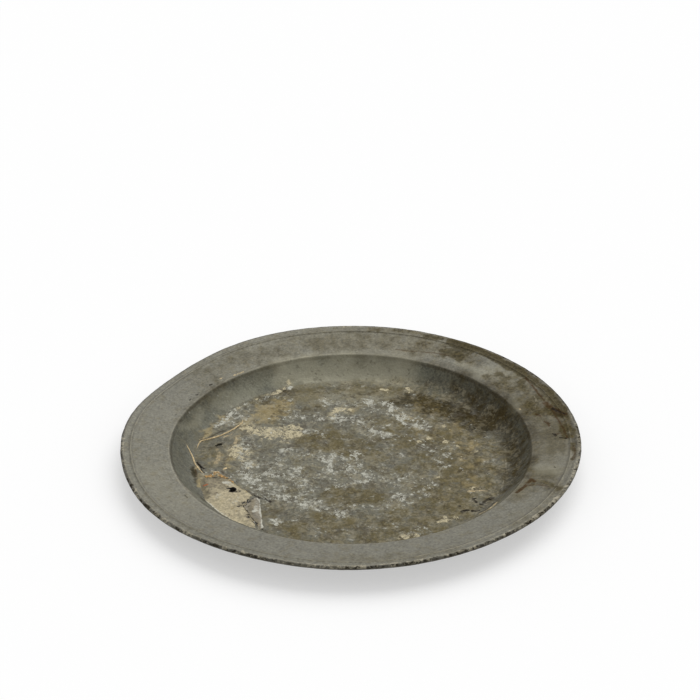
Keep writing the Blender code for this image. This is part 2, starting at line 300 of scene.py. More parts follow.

# Finer marks, which the finish draws as strokes: a line of places, a half-width and a strength. Some dark
# ones are painted shade and one pale one is a painted highlight
# Pits and dark lines, with painted shade in the open crack in the first two strokes and in the nail hole in
# the last
FINE_DARK = (
    (((-142.5, -5), (-140.5, -8.5), (-138, -11.5), (-135.5, -16)), 1.2, 1.0),
    (((-139, -13), (-137.5, -19.5), (-134, -24)), 0.8, 0.9),
    (((-87.5, -62.5), (-83, -66), (-79, -67.5), (-73, -73)), 1.7, 0.95),
    (((100.4, -89.4), (105.4, -87.2)), 2.3, 1.0),
    (((109.6, -88.4), (115.4, -87.4)), 2.2, 1.0),
    (((111, -69.6), (113, -67.6)), 1.8, 0.95),
    (((121, -74), (124, -69), (129, -66)), 2.2, 0.85),
    (((112.6, -71), (114, -74)), 1.8, 1.0),
    (((117.4, -77), (119, -77.6)), 1.7, 1.0),
    (((98, -80.2), (99.4, -81)), 1.4, 0.8),
    (((116, -92), (124, -88), (130, -78)), 1.5, 0.7),
    (((118, -82), (122, -86)), 1.2, 0.7),
    (((189, 58), (195, 50.6), (200, 46.4)), 1.7, 0.9),
    (((187.7, 14.5), (190.2, 10.4)), 1.6, 0.95),
    (((194, 6.2), (199.5, 3)), 1.3, 0.85),
    (((186, -44.5), (186.6, -46)), 0.9, 0.8),
    (((-152, 83), (-151.4, 84)), 1.2, 0.8),
    (((-146.4, 92.4), (-145.2, 94)), 1.2, 0.85),
    (((-134.2, 110.4), (-133, 111.8)), 1.5, 0.9),
    (((-164.6, 54), (-164, 54.6)), 0.9, 0.7),
    (((-150, -86), (-147, -91)), 0.9, 0.6),
    (((-125, 25), (-122, 27.2)), 2.4, 1.0),
)
FINE_RUST = (
    (
        (
            (166.2, 113.7), (171.4, 102.8), (176.4, 88.6), (183, 70.4),
            (189, 55.6), (193.5, 37.4), (198, 19), (200, 4.5),
        ),
        1.2, 0.8,
    ),
    (((182.5, 69), (189, 58.5), (195, 51), (200, 46)), 3.4, 0.85),
    (((173, 51.5), (177.6, 47.3)), 1.3, 0.85),
    (((181, 37), (185, 32.5)), 1.5, 0.85),
    (((183.6, 32), (185, 28.3)), 1.4, 0.8),
    (((189.8, 13.1), (198, 13.3)), 1.2, 0.75),
    (((150, -84), (158.7, -72.5), (163.7, -62.5), (166.5, -67)), 2.4, 0.95),
    (((160, -73), (168.7, -73.5), (178, -79)), 1.5, 0.6),
    (((44, 173.6), (59, 170), (73, 167.5), (87, 163.5), (94, 160)), 0.9, 0.6),
    (((205, -12), (206, -22), (203, -36)), 1.4, 0.6),
    (((-143.6, -17), (-141.4, -30)), 1.0, 0.6),
)
FINE_TAN = (
    (((-124.2, 17.8), (-122.5, 9.1), (-123.1, 0.2), (-125.2, -6.7)), 2.4, 0.3),
    (((-118, -16), (-115.4, -15)), 1.4, 0.95),
    (((-128.5, -20.7), (-122, -21.6)), 1.2, 0.7),
    (((-141, 36), (-137, 39)), 1.2, 0.7),
    (((-119, 40), (-112, 46)), 1.2, 0.4),
    (((-106, 42), (-108, 30)), 2.0, 0.4),
    (((117, -96), (126, -93), (131.5, -82)), 1.7, 0.75),
    (((108, -55), (124, -54.4)), 1.8, 0.5),
    (((-125, 122), (-123, 123.4)), 1.2, 0.6),
    (((-112, 128.4), (-103, 135)), 0.9, 0.5),
    (((157, 64.6), (159, 63)), 1.6, 0.6),
)
FINE_PALE = (
    # The first stroke is a painted highlight on the well's edge at the front left; the rest are pale streaks
    (((-160.3, -46), (-155.6, -60), (-149.6, -73.7), (-141.6, -88)), 0.8, 0.55),
    (((-160, -8), (-152, -18)), 0.7, 0.3),
    (((-158, -22), (-150, -30)), 0.7, 0.35),
    (((-156, -36), (-149, -42)), 0.7, 0.3),
    (((-152, -48), (-146, -54)), 0.7, 0.3),
    (((-150, 62), (-138, 66)), 0.8, 0.3),
    (((-120, 98), (-112, 96)), 0.8, 0.35),
    (((137.7, -55), (140.2, -37)), 0.9, 0.55),
    (((143.3, -17), (143.6, 5)), 0.9, 0.5),
    (((146.5, -9), (145.4, -22)), 0.8, 0.45),
    (((151.8, -64), (157, -58)), 0.8, 0.5),
    (((139.7, 22.3), (146.2, 25.7)), 0.8, 0.4),
    (((134, -60), (136, -66)), 0.9, 0.5),
    (((173.5, 84), (175.2, 71), (173.6, 61)), 0.8, 0.5),
    (((-104, 62), (-92, 70), (-80, 80)), 0.8, 0.4),
)

# Plan outlines of the repair, and of the tear and the open crack under it
FILL_OUTLINE = (
    (-139.6, -23.5), (-136.4, -26.2), (-132.4, -28), (-129.6, -26.6), (-127.6, -23.6), (-124, -21.4),
    (-121, -23.6), (-119.2, -26.6), (-115.8, -30.4), (-113.5, -31.5), (-110.3, -35.1), (-107, -39.5),
    (-104.4, -43.9), (-100.5, -48.5), (-96.6, -52.6), (-92.5, -58), (-89.5, -62.5), (-91.5, -67.5),
    (-93.5, -71.5), (-97.5, -78), (-98.2, -81), (-96, -87), (-93.5, -93), (-91.5, -98), (-88.8, -104),
    (-86.5, -111), (-84.7, -118), (-88.5, -117), (-95, -112.5), (-102.5, -108), (-109.5, -104),
    (-116, -99.5), (-123.3, -90), (-130, -77.5), (-133.9, -66.5), (-136, -56), (-137.4, -46), (-138.8, -37),
    (-140.4, -29),
)
FILL_END_OUTLINE = (
    (-87.5, -66), (-84.5, -67.5), (-82.6, -71), (-81.5, -81.5), (-80.8, -92), (-79.8, -105),
    (-78.5, -118.5), (-83.4, -118), (-85.2, -111), (-87.5, -104), (-90.2, -98), (-92.2, -93), (-94.6, -87),
    (-96.8, -81), (-96, -78), (-92, -71), (-90, -66.8),
)
CRACK_GAP = (
    (-141.9, -4.8), (-140.4, -8.3), (-138.7, -11.8), (-137.2, -14.8), (-138.2, -15.2), (-139.8, -12.4),
    (-141.4, -9), (-142.5, -5.4),
)
TEAR_OUTLINE = (
    (-130, -33), (-124, -28), (-116, -34), (-109, -43), (-103, -52), (-97, -61), (-92, -72), (-88, -84),
    (-86, -96), (-86, -108), (-93, -104), (-103, -95), (-113, -83), (-121, -71), (-127, -58), (-131, -45),
)
FILL_PLUG = (
    (-129, -34), (-124, -29.5), (-117, -35), (-110, -44), (-104, -53), (-98, -62), (-93, -73), (-89.5, -85),
    (-87.5, -96), (-87.5, -107), (-94, -103), (-103, -94), (-113, -82), (-120, -70.5), (-126, -57.5),
    (-130, -45),
)
FILL_END_LIP = FILL_END_OUTLINE[1:7]
# Holes: the middle, the length, the width and the turn
NAIL_HOLE = ((-123.4, 26.0), 7.5, 4.2, 0.7)
FILL_HOLE = ((-107.4, -54.6), 7.4, 8.2, 0.5)

# Marks on the putty, by the names of their masks, with painted shade in the hole and in the gap at the break,
# and a painted glint on the broken end
FILL_STAINS = {
    "ochre_stain": (
        (((-131, -29.5), (-126, -26.5), (-121, -25.5), (-115.5, -31)), 4.5, 0.8),
        (((-113, -34.5), (-104, -45), (-96, -55)), 2.2, 0.95),
        (((-112, -78), (-104, -88)), 9, 0.35),
        (((-92, -104), (-87, -114)), 3, 0.5),
    ),
    "dark_pits": (
        (((-131, -30), (-124, -30), (-117, -30)), 4.5, 0.62),
        (((-130, -30), (-127, -32)), 1.4, 0.95),
        (((-118, -28), (-113, -33)), 1.6, 0.95),
        (((-124.5, -33), (-121, -34)), 1.4, 0.9),
        (((-114.6, -51), (-110, -53.6)), 1.2, 1.0),
        # Painted shade in the hole
        (((-112, -51.4), (-103, -56)), 3.4, 0.6),
        (((-121, -44), (-116, -52)), 3.5, 0.42),
        # Painted shade in the gap along the break with the end piece, in this stroke, the next, and the
        # stroke from (-96.5, -88)
        (((-90.5, -64), (-94.5, -73), (-98.5, -80)), 2.0, 0.8),
        (((-99, -79), (-102, -82)), 1.4, 0.8),
        (((-97.5, -100), (-92, -98.6)), 1.6, 0.95),
        (((-96.5, -88), (-92.5, -97), (-87.5, -110)), 1.4, 0.7),
        (((-110, -97), (-106, -99.5)), 0.9, 0.7),
        (((-126, -57), (-121, -60)), 1.4, 0.6),
    ),
    "grey_wear": (
        (((-132, -38), (-122, -41), (-116, -42)), 7, 1.0),
        (((-131, -48), (-120, -48)), 7, 1.0),
        (((-130, -58), (-124, -60)), 4, 0.8),
        (((-95, -96), (-90, -106)), 4, 0.6),
    ),
    "dust_and_glint": (
        (((-115, -43), (-111, -46)), 3.5, 0.95),
        (((-118, -66), (-104, -68)), 8, 0.4),
        (((-131, -74), (-122, -89), (-110, -102)), 1.1, 0.7),
    ),
    "brown_wash": (
        (((-139, -26), (-137.5, -38), (-135, -52), (-132, -66)), 5, 1.0),
        (((-129, -30), (-119, -31)), 5, 0.9),
        (((-120, -38), (-113, -42)), 5, 0.6),
    ),
    "crumbs": (
        (((-131, -29.5), (-127, -26), (-123, -24.5), (-118.5, -29)), 3.2, 1.0),
        (((-116, -32), (-108, -41)), 2.0, 0.7),
    ),
    "rust_spot": (
        (((-134, -46.4), (-131.6, -46)), 1.3, 1.0),
        (((-129, -28), (-122, -26), (-117, -31)), 3.4, 0.36),
    ),
}
FILL_END_STAINS = {
    "ochre_stain": ((((-85, -112), (-82, -117)), 4, 0.5),),
    "dark_pits": (
        # Painted shade in the gap along the break, in these two strokes
        (((-89.5, -67), (-92, -72), (-95.5, -79)), 1.7, 0.85),
        (((-94, -88), (-90, -98), (-84.5, -114)), 1.5, 0.85),
        (((-91, -80), (-90, -88)), 4, 0.4),
    ),
    "grey_wear": ((((-90, -72), (-91, -92), (-86, -108)), 4, 0.9),),
    "dust_and_glint": (
        (((-85, -68), (-82.4, -74), (-81.4, -84), (-80.4, -100), (-79.2, -117)), 1.3, 0.95),
        # A painted glint on the broken end
        (((-87.4, -90), (-86.6, -91)), 1.7, 1.0),
        (((-86, -76), (-84.5, -88)), 3, 0.55),
    ),
    "brown_wash": ((((-93, -74), (-92, -92)), 4, 0.6),),
}

# Lines of the two beads of putty
BACK_BEAD = (
    (-143.4, 20), (-142.6, 25.5), (-141.4, 30.3), (-139.3, 33.9), (-131, 37.5), (-122.2, 43),
    (-112.2, 52.6), (-107.2, 59.1), (-102.6, 66.4), (-102.4, 72),
)
SIDE_BEAD = (
    (-153.2, 20.2), (-150.1, 13.4), (-147, 5.1), (-144.2, -6.8), (-140.6, -15.5), (-137, -22),
    (-134.5, -26),
)


def srgb(red, green, blue):
    """A colour as it is seen on screen, in 0 to 255, as the scene-linear colour that shaders take."""
    steps = []
    for level in (red, green, blue):
        share = level / 255
        steps.append(share / 12.92 if share <= 0.04045 else ((share + 0.055) / 1.055) ** 2.4)
    return tuple(steps)


def length(name, description, metres):
    return FloatProperty(
        name=name, description=description, default=metres, min=0.0,
        precision=5, subtype="DISTANCE", unit="LENGTH",
    )


def colour(name, description, *levels):
    return FloatVectorProperty(
        name=name, description=description, default=srgb(*levels), size=3,
        min=0.0, max=1.0, subtype="COLOR",
    )


class PlatterSizes(bpy.types.PropertyGroup):
    """Sizes of the casting"""

    rim_diameter: length("Rim diameter", "Across the outer edge", CASTING_BOX[1][0] - CASTING_BOX[0][0])
    rim_width: length("Rim width", "From the outer edge in to the well", 0.04525)
    rim_rise: length("Rim rise", "How much higher the outer edge is than the well's edge", 0.0065)
    booge_width: length("Booge width", "Plan width of the curved wall", 0.0217)
    well_depth: length("Well depth", "From the well's edge down to the floor", 0.0165)
    booge_curve: FloatProperty(
        name="Booge curve", description="Power that shapes the wall", default=1.5, min=1.0
    )
    wall: length("Wall", "Thickness of the metal", 0.0025)
    edge_thickness: length("Edge thickness", "Thickness of the rounded outer edge", 0.0038)
    edge_band: length("Edge band", "From the outer edge in to the reed", 0.0088)
    reed_width: length("Reed width", "Width of the raised reed", 0.0018)
    reed_height: length("Reed height", "Height of the reed above the rim", 0.0006)
    turn_steps: IntProperty(
        name="Turn steps", description="Divisions round the platter", default=512, min=64
    )


class PlatterAging(bpy.types.PropertyGroup):
    """How uneven the old metal is"""

    dent_depth: length("Dent depth", "Deepest of the broad dents", 0.0007)
    dent_size: length("Dent size", "Width of a broad dent", 0.055)
    lump_height: length("Lump height", "Height of the small corrosion lumps", 0.00022)
    lump_size: length("Lump size", "Width of a corrosion lump", 0.006)
    edge_wobble: length("Edge wobble", "How far the outer edge strays from a circle", 0.0007)
    crust_height: length("Crust height", "Thickness of the mineral crust", 0.00045)
    flake_density: FloatProperty(
        name="Flake density", description="Flakes per square metre", default=70000.0, min=0.0
    )
    seed: IntProperty(name="Seed", description="Fixed seed of the dents and crust", default=11)


class PlatterFinish(bpy.types.PropertyGroup):
    """Colours as they look in plain light"""

    rim_grey: colour("Rim grey", "Satin grey of the rim", 105, 103, 92)
    rim_brown: colour("Rim brown", "Brown patina on the rim", 92, 85, 63)
    floor_grey: colour("Floor grey", "Bare grey of the floor", 90, 88, 75)
    floor_brown: colour("Floor brown", "Brown-olive patina of the floor", 87, 79, 53)
    booge_green: colour("Booge green", "Green-grey of the curved wall", 90, 90, 78)
    under_grey: colour("Underside grey", "Dull grey of the underside", 98, 95, 84)
    # Also the colour of the painted shade lines beside the reed
    edge_brown: colour("Edge brown", "Dark crust of the outer edge", 54, 48, 36)
    # Also the colour of the painted highlights on the rim's inner corner, the reed's crest and the outer edge
    edge_pale: colour("Edge flecks", "Pale flecks in the crust of the edge", 146, 140, 122)
    # Also the colour of the painted shade under the well's edge, in the shaded marks and in the painted
    # shadows among the streaks
    stain_brown: colour("Stain brown", "Dark brown stains", 50, 41, 19)
    ochre: colour("Ochre", "Yellow-brown staining", 142, 127, 88)
    crust_white: colour("White crust", "Mineral deposit", 198, 197, 184)
    crust_cream: colour("Cream crust", "Warmer deposit", 206, 195, 163)
    # Also the colour of painted shade in the holes, the crack, the gap at the break and on the outer edge
    pit_dark: colour("Pits", "Dark corrosion pits", 32, 27, 20)
    putty_cream: colour("Cream putty", "Main fill", 172, 161, 132)
    putty_grey: colour("Grey putty", "Broken end of the fill", 142, 135, 119)
    putty_worn: colour("Worn putty", "Grey-brown part of the fill", 128, 119, 98)
    fleck_tan: colour("Tan flecks", "Fine pale flecks in the patina", 150, 141, 116)
    rim_stain: colour("Rim stain", "Brown staining on the rim", 80, 71, 44)
    # Also painted light, where it lightens the wall at the back
    worn_grey: colour("Worn grey", "Metal rubbed pale on the wall and rim", 146, 142, 122)
    stain_rust: colour("Rust stain", "Reddish brown lines and pits on the rim", 66, 49, 27)
    rust: colour("Rust", "Red-orange spot on the fill", 152, 80, 40)
    putty_tan: colour("Tan putty", "Beads along the cracks", 202, 180, 138)
    crumb_tan: colour("Crumb tan", "Crumbs at the head of the fill", 186, 150, 98)


def sizes():
    return bpy.context.scene.platter_sizes


def aging():
    return bpy.context.scene.platter_aging


def finish():
    return bpy.context.scene.platter_finish


# Mesh helpers


def put_in_scene(name, data):
    thing = bpy.data.objects.new(name, data)
    bpy.context.scene.collection.objects.link(thing)
    return thing


def bake_modifiers(thing):
    """Turns an object with modifiers into the plain mesh that they make, with its faces pointing out."""
    graph = bpy.context.evaluated_depsgraph_get()
    made = bpy.data.meshes.new_from_object(
        thing.evaluated_get(graph), preserve_all_data_layers=True, depsgraph=graph
    )
    old = thing.data
    thing.modifiers.clear()
    thing.data = made
    made.name = thing.name
    if old.users == 0:
        bpy.data.meshes.remove(old)
    shape = bmesh.new()
    shape.from_mesh(made)
    bmesh.ops.recalc_face_normals(shape, faces=shape.faces)
    shape.to_mesh(made)
    shape.free()


def node_modifier(thing, tree, **values):
    """Adds a Geometry Nodes modifier and sets its inputs by their names."""
    modifier = thing.modifiers.new(tree.name, "NODES")
    modifier.node_group = tree
    for item in tree.interface.items_tree:
        if item.in_out == "INPUT" and item.name in values:
            modifier[item.identifier] = values.pop(item.name)
    if values:
        raise ValueError(f"{tree.name} has no inputs named {sorted(values)}")


def vertex_places(mesh):
    places = np.empty(len(mesh.vertices) * 3)
    mesh.vertices.foreach_get("co", places)
    return places.reshape(-1, 3)


def store_mask(mesh, name, values):
    attribute = mesh.attributes.new(name, "FLOAT", "POINT")
    attribute.data.foreach_set("value", np.ascontiguousarray(values, dtype=np.float32))


def smooth_step(low, high, values):
    share = np.clip((values - low) / (high - low), 0.0, 1.0)
    return share * share * (3 - 2 * share)


def line_distance(plan, points):
    """Distance of each plan place from a line of points."""
    nearest = np.full(len(plan), np.inf)
    for start, end in zip(points[:-1], points[1:], strict=True):
        start, along = np.array(start), np.subtract(end, start)
        share = np.clip((plan - start) @ along / max(along @ along, 1e-12), 0.0, 1.0)
        nearest = np.minimum(nearest, np.hypot(*(plan - start - share[:, None] * along).T))
    return nearest


def mark_mask(plan, marks, wander):
    """Strength of a kind of mark at each plan place, with soft wandering edges."""
    mask = np.zeros(len(plan))
    for points, half_width, strength in marks:
        away = line_distance(plan + wander * min(1.0, half_width / 6), points)
        mask = np.maximum(mask, strength * smooth_step(1.9 * half_width, 0.2 * half_width, away))
    return mask


def drift(x, y, layer):
    """A smooth stray in x and y, from about -1 to 1, that is the same in every run."""
    across = noise.noise(Vector((x, y, layer)))
    along = noise.noise(Vector((y + 41.3, x - 17.9, layer + 23.7)))
    return across, along


def wandering(plan):
    """A fixed stray of a few millimetres for each plan place, so that marks don't look drawn."""
    stray = np.zeros((len(plan), 2))
    for index, (x, y) in enumerate(plan):
        for reach, fineness, layer in ((5.5, 0.06, 8.3), (2.2, 0.2, 2.1)):
            stray[index] += reach * np.array(drift(x * fineness, y * fineness, layer))
    return stray


# Node helpers


class Tree:
    """A node tree in the making, with short ways to add its nodes and to join them."""

    def __init__(self, made):
        self.made = made

    def feed(self, socket, value):
        """Joins another node's output to a socket, or sets the socket's value."""
        if isinstance(value, bpy.types.NodeSocket):
            self.made.links.new(value, socket)
        elif value is not None:
            socket.default_value = value

    def node(self, kind, inputs=None, **settings):
        made = self.made.nodes.new(kind)
        for name, value in settings.items():
            setattr(made, name, value)
        for name, value in (inputs or {}).items():
            self.feed(made.inputs[name], value)
        return made

    def out(self, kind, inputs=None, output=0, **settings):
        """One output of a new node."""
        return self.node(kind, inputs, **settings).outputs[output]

    def calc(self, operation, *values, clamp=False):
        inputs = dict(enumerate(values))
        return self.out("ShaderNodeMath", inputs, operation=operation, use_clamp=clamp)

    def plus(self, first, second):
        return self.calc("ADD", first, second)

    def minus(self, first, second):
        return self.calc("SUBTRACT", first, second)

    def times(self, first, second):
        return self.calc("MULTIPLY", first, second)

    def times_plus(self, first, second, third):
        return self.calc("MULTIPLY_ADD", first, second, third)

    def over(self, first, second):
        return self.calc("DIVIDE", first, second)

    def most(self, first, *others):
        for other in others:
            first = self.calc("MAXIMUM", first, other)
        return first

    def vector(self, operation, first, second=None, scale=None):
        output = "Value" if operation in {"LENGTH", "DOT_PRODUCT", "DISTANCE"} else "Vector"
        inputs = {0: first, 1: second, 3: scale}
        return self.out("ShaderNodeVectorMath", inputs, output, operation=operation)

    def ramp(self, value, low, high, to_low=0.0, to_high=1.0):
        """A smooth step from one level to another."""
        inputs = {"Value": value, "From Min": low, "From Max": high, "To Min": to_low, "To Max": to_high}
        return self.out("ShaderNodeMapRange", inputs, "Result", interpolation_type="SMOOTHSTEP")

    def mix(self, share, first, second, blend="MIX"):
        """Lays one colour over another. A colour is an output or three levels."""
        inputs = {"Factor": share}
        for socket, tint in ((6, first), (7, second)):
            inputs[socket] = tint if isinstance(tint, bpy.types.NodeSocket) else (*tint, 1.0)
        return self.out("ShaderNodeMix", inputs, 2, data_type="RGBA", blend_type=blend)

    def tinted(self, tint, tone):
        """A colour multiplied by a tone."""
        grey = self.out("ShaderNodeCombineColor", {0: tone, 1: tone, 2: tone})
        return self.mix(1.0, tint, grey, "MULTIPLY")

    def noise(self, place, width, detail=3.0, rough=0.55, seed=0.0):
        """Noise whose features are about the given width in metres."""
        scale = 1 / width if isinstance(width, float) else self.over(1.0, width)
        inputs = {"Vector": place, "W": seed, "Scale": scale, "Detail": detail, "Roughness": rough}
        return self.out("ShaderNodeTexNoise", inputs, noise_dimensions="4D")

    def stray(self, place, scale, detail):
        """A vector that strays to all sides of nothing from place to place."""
        inputs = {"Vector": place, "Scale": scale, "Detail": detail}
        return self.vector("SUBTRACT", self.out("ShaderNodeTexNoise", inputs, "Color"), (0.5, 0.5, 0.5))

    def parts(self, place):
        return self.node("ShaderNodeSeparateXYZ", {0: place}).outputs

    def joined(self, x=None, y=None, z=None):
        return self.out("ShaderNodeCombineXYZ", {0: x, 1: y, 2: z})

    def mask(self, name):
        """A soft mask that is stored on the points of the mesh."""
        return self.out("ShaderNodeAttribute", output="Fac", attribute_name=name)

    def group(self, name, *outputs, **values):
        """Adds a shared shader group. Gives the outputs that are asked for, or else the first one."""
        made = self.node("ShaderNodeGroup", node_tree=shared_group(name))
        for label, value in values.items():
            self.feed(made.inputs[label.replace("_", " ")], value)
        return [made.outputs[output] for output in outputs] if outputs else made.outputs[0]


def new_tree(name, kind, inputs, outputs):
    """Starts a node tree. An input is named with its value, or with the kind of its socket."""
    made = bpy.data.node_groups.new(name, kind)
    for label, value in inputs.items():
        socket_kind = value if isinstance(value, str) else type(value).__name__.capitalize()
        socket = made.interface.new_socket(label, in_out="INPUT", socket_type=f"NodeSocket{socket_kind}")
        if not isinstance(value, str):
            socket.default_value = value
    for label, socket_kind in outputs.items():
        made.interface.new_socket(label, in_out="OUTPUT", socket_type=f"NodeSocket{socket_kind}")
    given = made.nodes.new("NodeGroupInput").outputs
    return Tree(made), given, made.nodes.new("NodeGroupOutput").inputs


# Geometry Nodes trees


def shape_tree(name, inputs):
    """Starts a Geometry Nodes tree that ends in a mesh with a finish."""
    inputs = {**inputs, "Finish": "Material"}
    return new_tree(name, "GeometryNodeTree", inputs, {"Geometry": "Geometry"})


def end_tree(tree, given, shape, out):
    """Makes the instances real, sets the finish and gives the finished tree."""
    real = tree.out("GeometryNodeRealizeInstances", {"Geometry": shape})
    inputs = {"Geometry": real, "Material": given["Finish"]}
    tree.feed(out["Geometry"], tree.out("GeometryNodeSetMaterial", inputs))
    return tree.made


def turned_tree():
    """Turns a half section, given as a row of vertices, once round the Z axis."""
    tree, given, out = shape_tree("Turned casting", {"Section": "Geometry", "Steps": 512})
    section = given["Section"]
    rows = tree.out(
        "GeometryNodeAttributeDomainSize", {"Geometry": section}, "Point Count", component="MESH"
    )
    columns = tree.plus(given["Steps"], 1.0)
    grid = tree.out("GeometryNodeMeshGrid", {"Vertices X": columns, "Vertices Y": rows}, "Mesh")
    index = tree.out("GeometryNodeInputIndex")
    column = tree.calc("FLOOR", tree.over(tree.plus(index, 0.25), rows))
    row = tree.minus(index, tree.times(column, rows))
    inputs = {"Geometry": section, "Value": tree.out("GeometryNodeInputPosition"), "Index": row}
    spot = tree.parts(
        tree.out("GeometryNodeSampleIndex", inputs, data_type="FLOAT_VECTOR", domain="POINT")
    )
    turn = tree.times(tree.over(column, given["Steps"]), math.tau)
    x = tree.times(spot[0], tree.calc("COSINE", turn))
    y = tree.times(spot[0], tree.calc("SINE", turn))
    inputs = {"Geometry": grid, "Position": tree.joined(x, y, spot[2])}
    turned = tree.out("GeometryNodeSetPosition", inputs)
    closed = tree.out("GeometryNodeMergeByDistance", {"Geometry": turned, "Distance": 0.02 * MM})
    return end_tree(tree, given, closed, out)


def bend_group():
    """Drop of the rim's edge at an angle, for one bend."""
    inputs = {"Angle": 0.0, "Middle": 0.0, "Drop": 0.0, "Spread": 0.3}
    tree, given, out = new_tree("Rim bend", "GeometryNodeTree", inputs, {"Drop": "Float"})
    away = tree.calc("WRAP", tree.minus(given["Angle"], given["Middle"]), math.pi, -math.pi)
    share = tree.calc("POWER", tree.over(away, given["Spread"]), 2.0)
    drop = tree.times(given["Drop"], tree.calc("EXPONENT", tree.times(share, -0.5)))
    tree.feed(out["Drop"], drop)
    return tree.made


def aged_inputs():
    """The inputs of the tree that ages the casting, with their values."""
    size, age = sizes(), aging()
    rim = size.rim_diameter / 2
    inputs = {
        "Floor radius": rim - size.rim_width - size.booge_width,
        "Well radius": rim - size.rim_width,
        "Rim radius": rim,
        "Dent depth": age.dent_depth,
        "Dent size": age.dent_size,
        "Lump height": age.lump_height,
        "Lump size": age.lump_size,
        "Crust height": age.crust_height,
        "Edge wobble": age.edge_wobble,
        "Seed": float(age.seed),
    }
    bends = [(f"Bend {number}", *bend) for number, bend in enumerate(RIM_BENDS, start=1)]
    for name, middle, depth, spread in (*bends, ("Push", *WELL_PUSH)):
        inputs[f"{name} angle"] = math.radians(middle)
        inputs[f"{name} depth"] = depth * MM
        inputs[f"{name} spread"] = math.radians(spread)
    return inputs


def aged_tree():
    """Bends the rim, dents the metal, roughens the edge and raises the crust."""
    tree, given, out = shape_tree("Aged casting", {"Casting": "Geometry", **aged_inputs()})
    bend = bend_group()
    seed = given["Seed"]
    position = tree.out("GeometryNodeInputPosition")
    spot = tree.parts(position)
    plan = tree.joined(spot[0], spot[1])
    radius = tree.vector("LENGTH", plan)
    angle = tree.calc("ARCTAN2", spot[1], spot[0])

    def bent(name):
        inputs = {
            "Angle": angle,
            "Middle": given[f"{name} angle"],
            "Drop": given[f"{name} depth"],
            "Spread": given[f"{name} spread"],
        }
        return tree.out("GeometryNodeGroup", inputs, node_tree=bend)

    drop = 0.0
    for number in range(len(RIM_BENDS)):
        drop = tree.plus(drop, bent(f"Bend {number + 1}"))
    reach = tree.minus(radius, given["Floor radius"])
    whole = tree.minus(given["Rim radius"], given["Floor radius"])
    reach = tree.calc("DIVIDE", reach, whole, clamp=True)
    drop = tree.times(drop, tree.calc("POWER", reach, BEND_CURVE))
    dents = tree.times(tree.noise(plan, given["Dent size"], 2.0, 0.5, seed), given["Dent depth"])
    lumps = tree.times(tree.noise(position, given["Lump size"], 3.0, 0.6, seed), given["Lump height"])
    masks = []
    for name in ("white_crust", "cream_crust"):
        masks.append(tree.out("GeometryNodeInputNamedAttribute", {"Name": name}, data_type="FLOAT"))
    flaky = tree.ramp(tree.noise(position, 0.0032, 3.0, 0.65, seed), 0.42, 0.6)
    crust = tree.times(tree.times(tree.most(*masks), flaky), given["Crust height"])
    rise = tree.plus(tree.plus(dents, lumps), tree.minus(crust, drop))

    near_edge = tree.ramp(tree.over(radius, given["Rim radius"]), 0.93, 1.0)
    wobble = tree.minus(tree.noise(plan, 0.016, 4.0, 0.65, seed), 0.55)
    wobble = tree.times(tree.times(wobble, near_edge), tree.times(given["Edge wobble"], 2.0))
    inside = tree.ramp(radius, given["Floor radius"], given["Well radius"])
    outside = tree.ramp(radius, given["Rim radius"], given["Well radius"])
    pushed = tree.times(bent("Push"), tree.times(inside, outside))
    outward = tree.vector("SCALE", tree.vector("NORMALIZE", plan), scale=tree.minus(wobble, pushed))
    offset = tree.vector("ADD", outward, tree.joined(z=rise))
    moved = tree.out("GeometryNodeSetPosition", {"Geometry": given["Casting"], "Offset": offset})
    return end_tree(tree, given, moved, out)


def bead_tree():
    """Sweeps a lumpy bead of putty along a line of vertices, thinner towards its ends."""
    inputs = {"Route": "Geometry", "Radius": 0.0013, "Step": 0.0007, "Lumps": 0.0007, "Seed": 4.0}
    tree, given, out = shape_tree("Putty bead", inputs)
    curve = tree.out("GeometryNodeMeshToCurve", {"Mesh": given["Route"]})
    curve = tree.out("GeometryNodeCurveSplineType", {"Curve": curve}, spline_type="CATMULL_ROM")
    inputs = {"Curve": curve, "Length": given["Step"]}
    curve = tree.out("GeometryNodeResampleCurve", inputs, mode="LENGTH")
    along = tree.out("GeometryNodeSplineParameter", output="Factor")
    position = tree.out("GeometryNodeInputPosition")
    taper = tree.calc("POWER", tree.calc("SINE", tree.times(along, math.pi)), 0.45)
    lumps = tree.noise(position, 0.007, 3.0, 0.6, given["Seed"])
    uneven = tree.plus(0.45, tree.times(lumps, 1.1))
    width = tree.most(tree.times(taper, uneven), 0.12)
    ring = tree.out("GeometryNodeCurvePrimitiveCircle", {"Resolution": 12, "Radius": given["Radius"]})
    inputs = {"Curve": curve, "Profile Curve": ring, "Scale": width, "Fill Caps": True}
    swept = tree.out("GeometryNodeCurveToMesh", inputs)
    stray = tree.vector("SCALE", tree.stray(position, 420.0, 3.0), scale=given["Lumps"])
    lumpy = tree.out("GeometryNodeSetPosition", {"Geometry": swept, "Offset": stray})
    return end_tree(tree, given, lumpy, out)


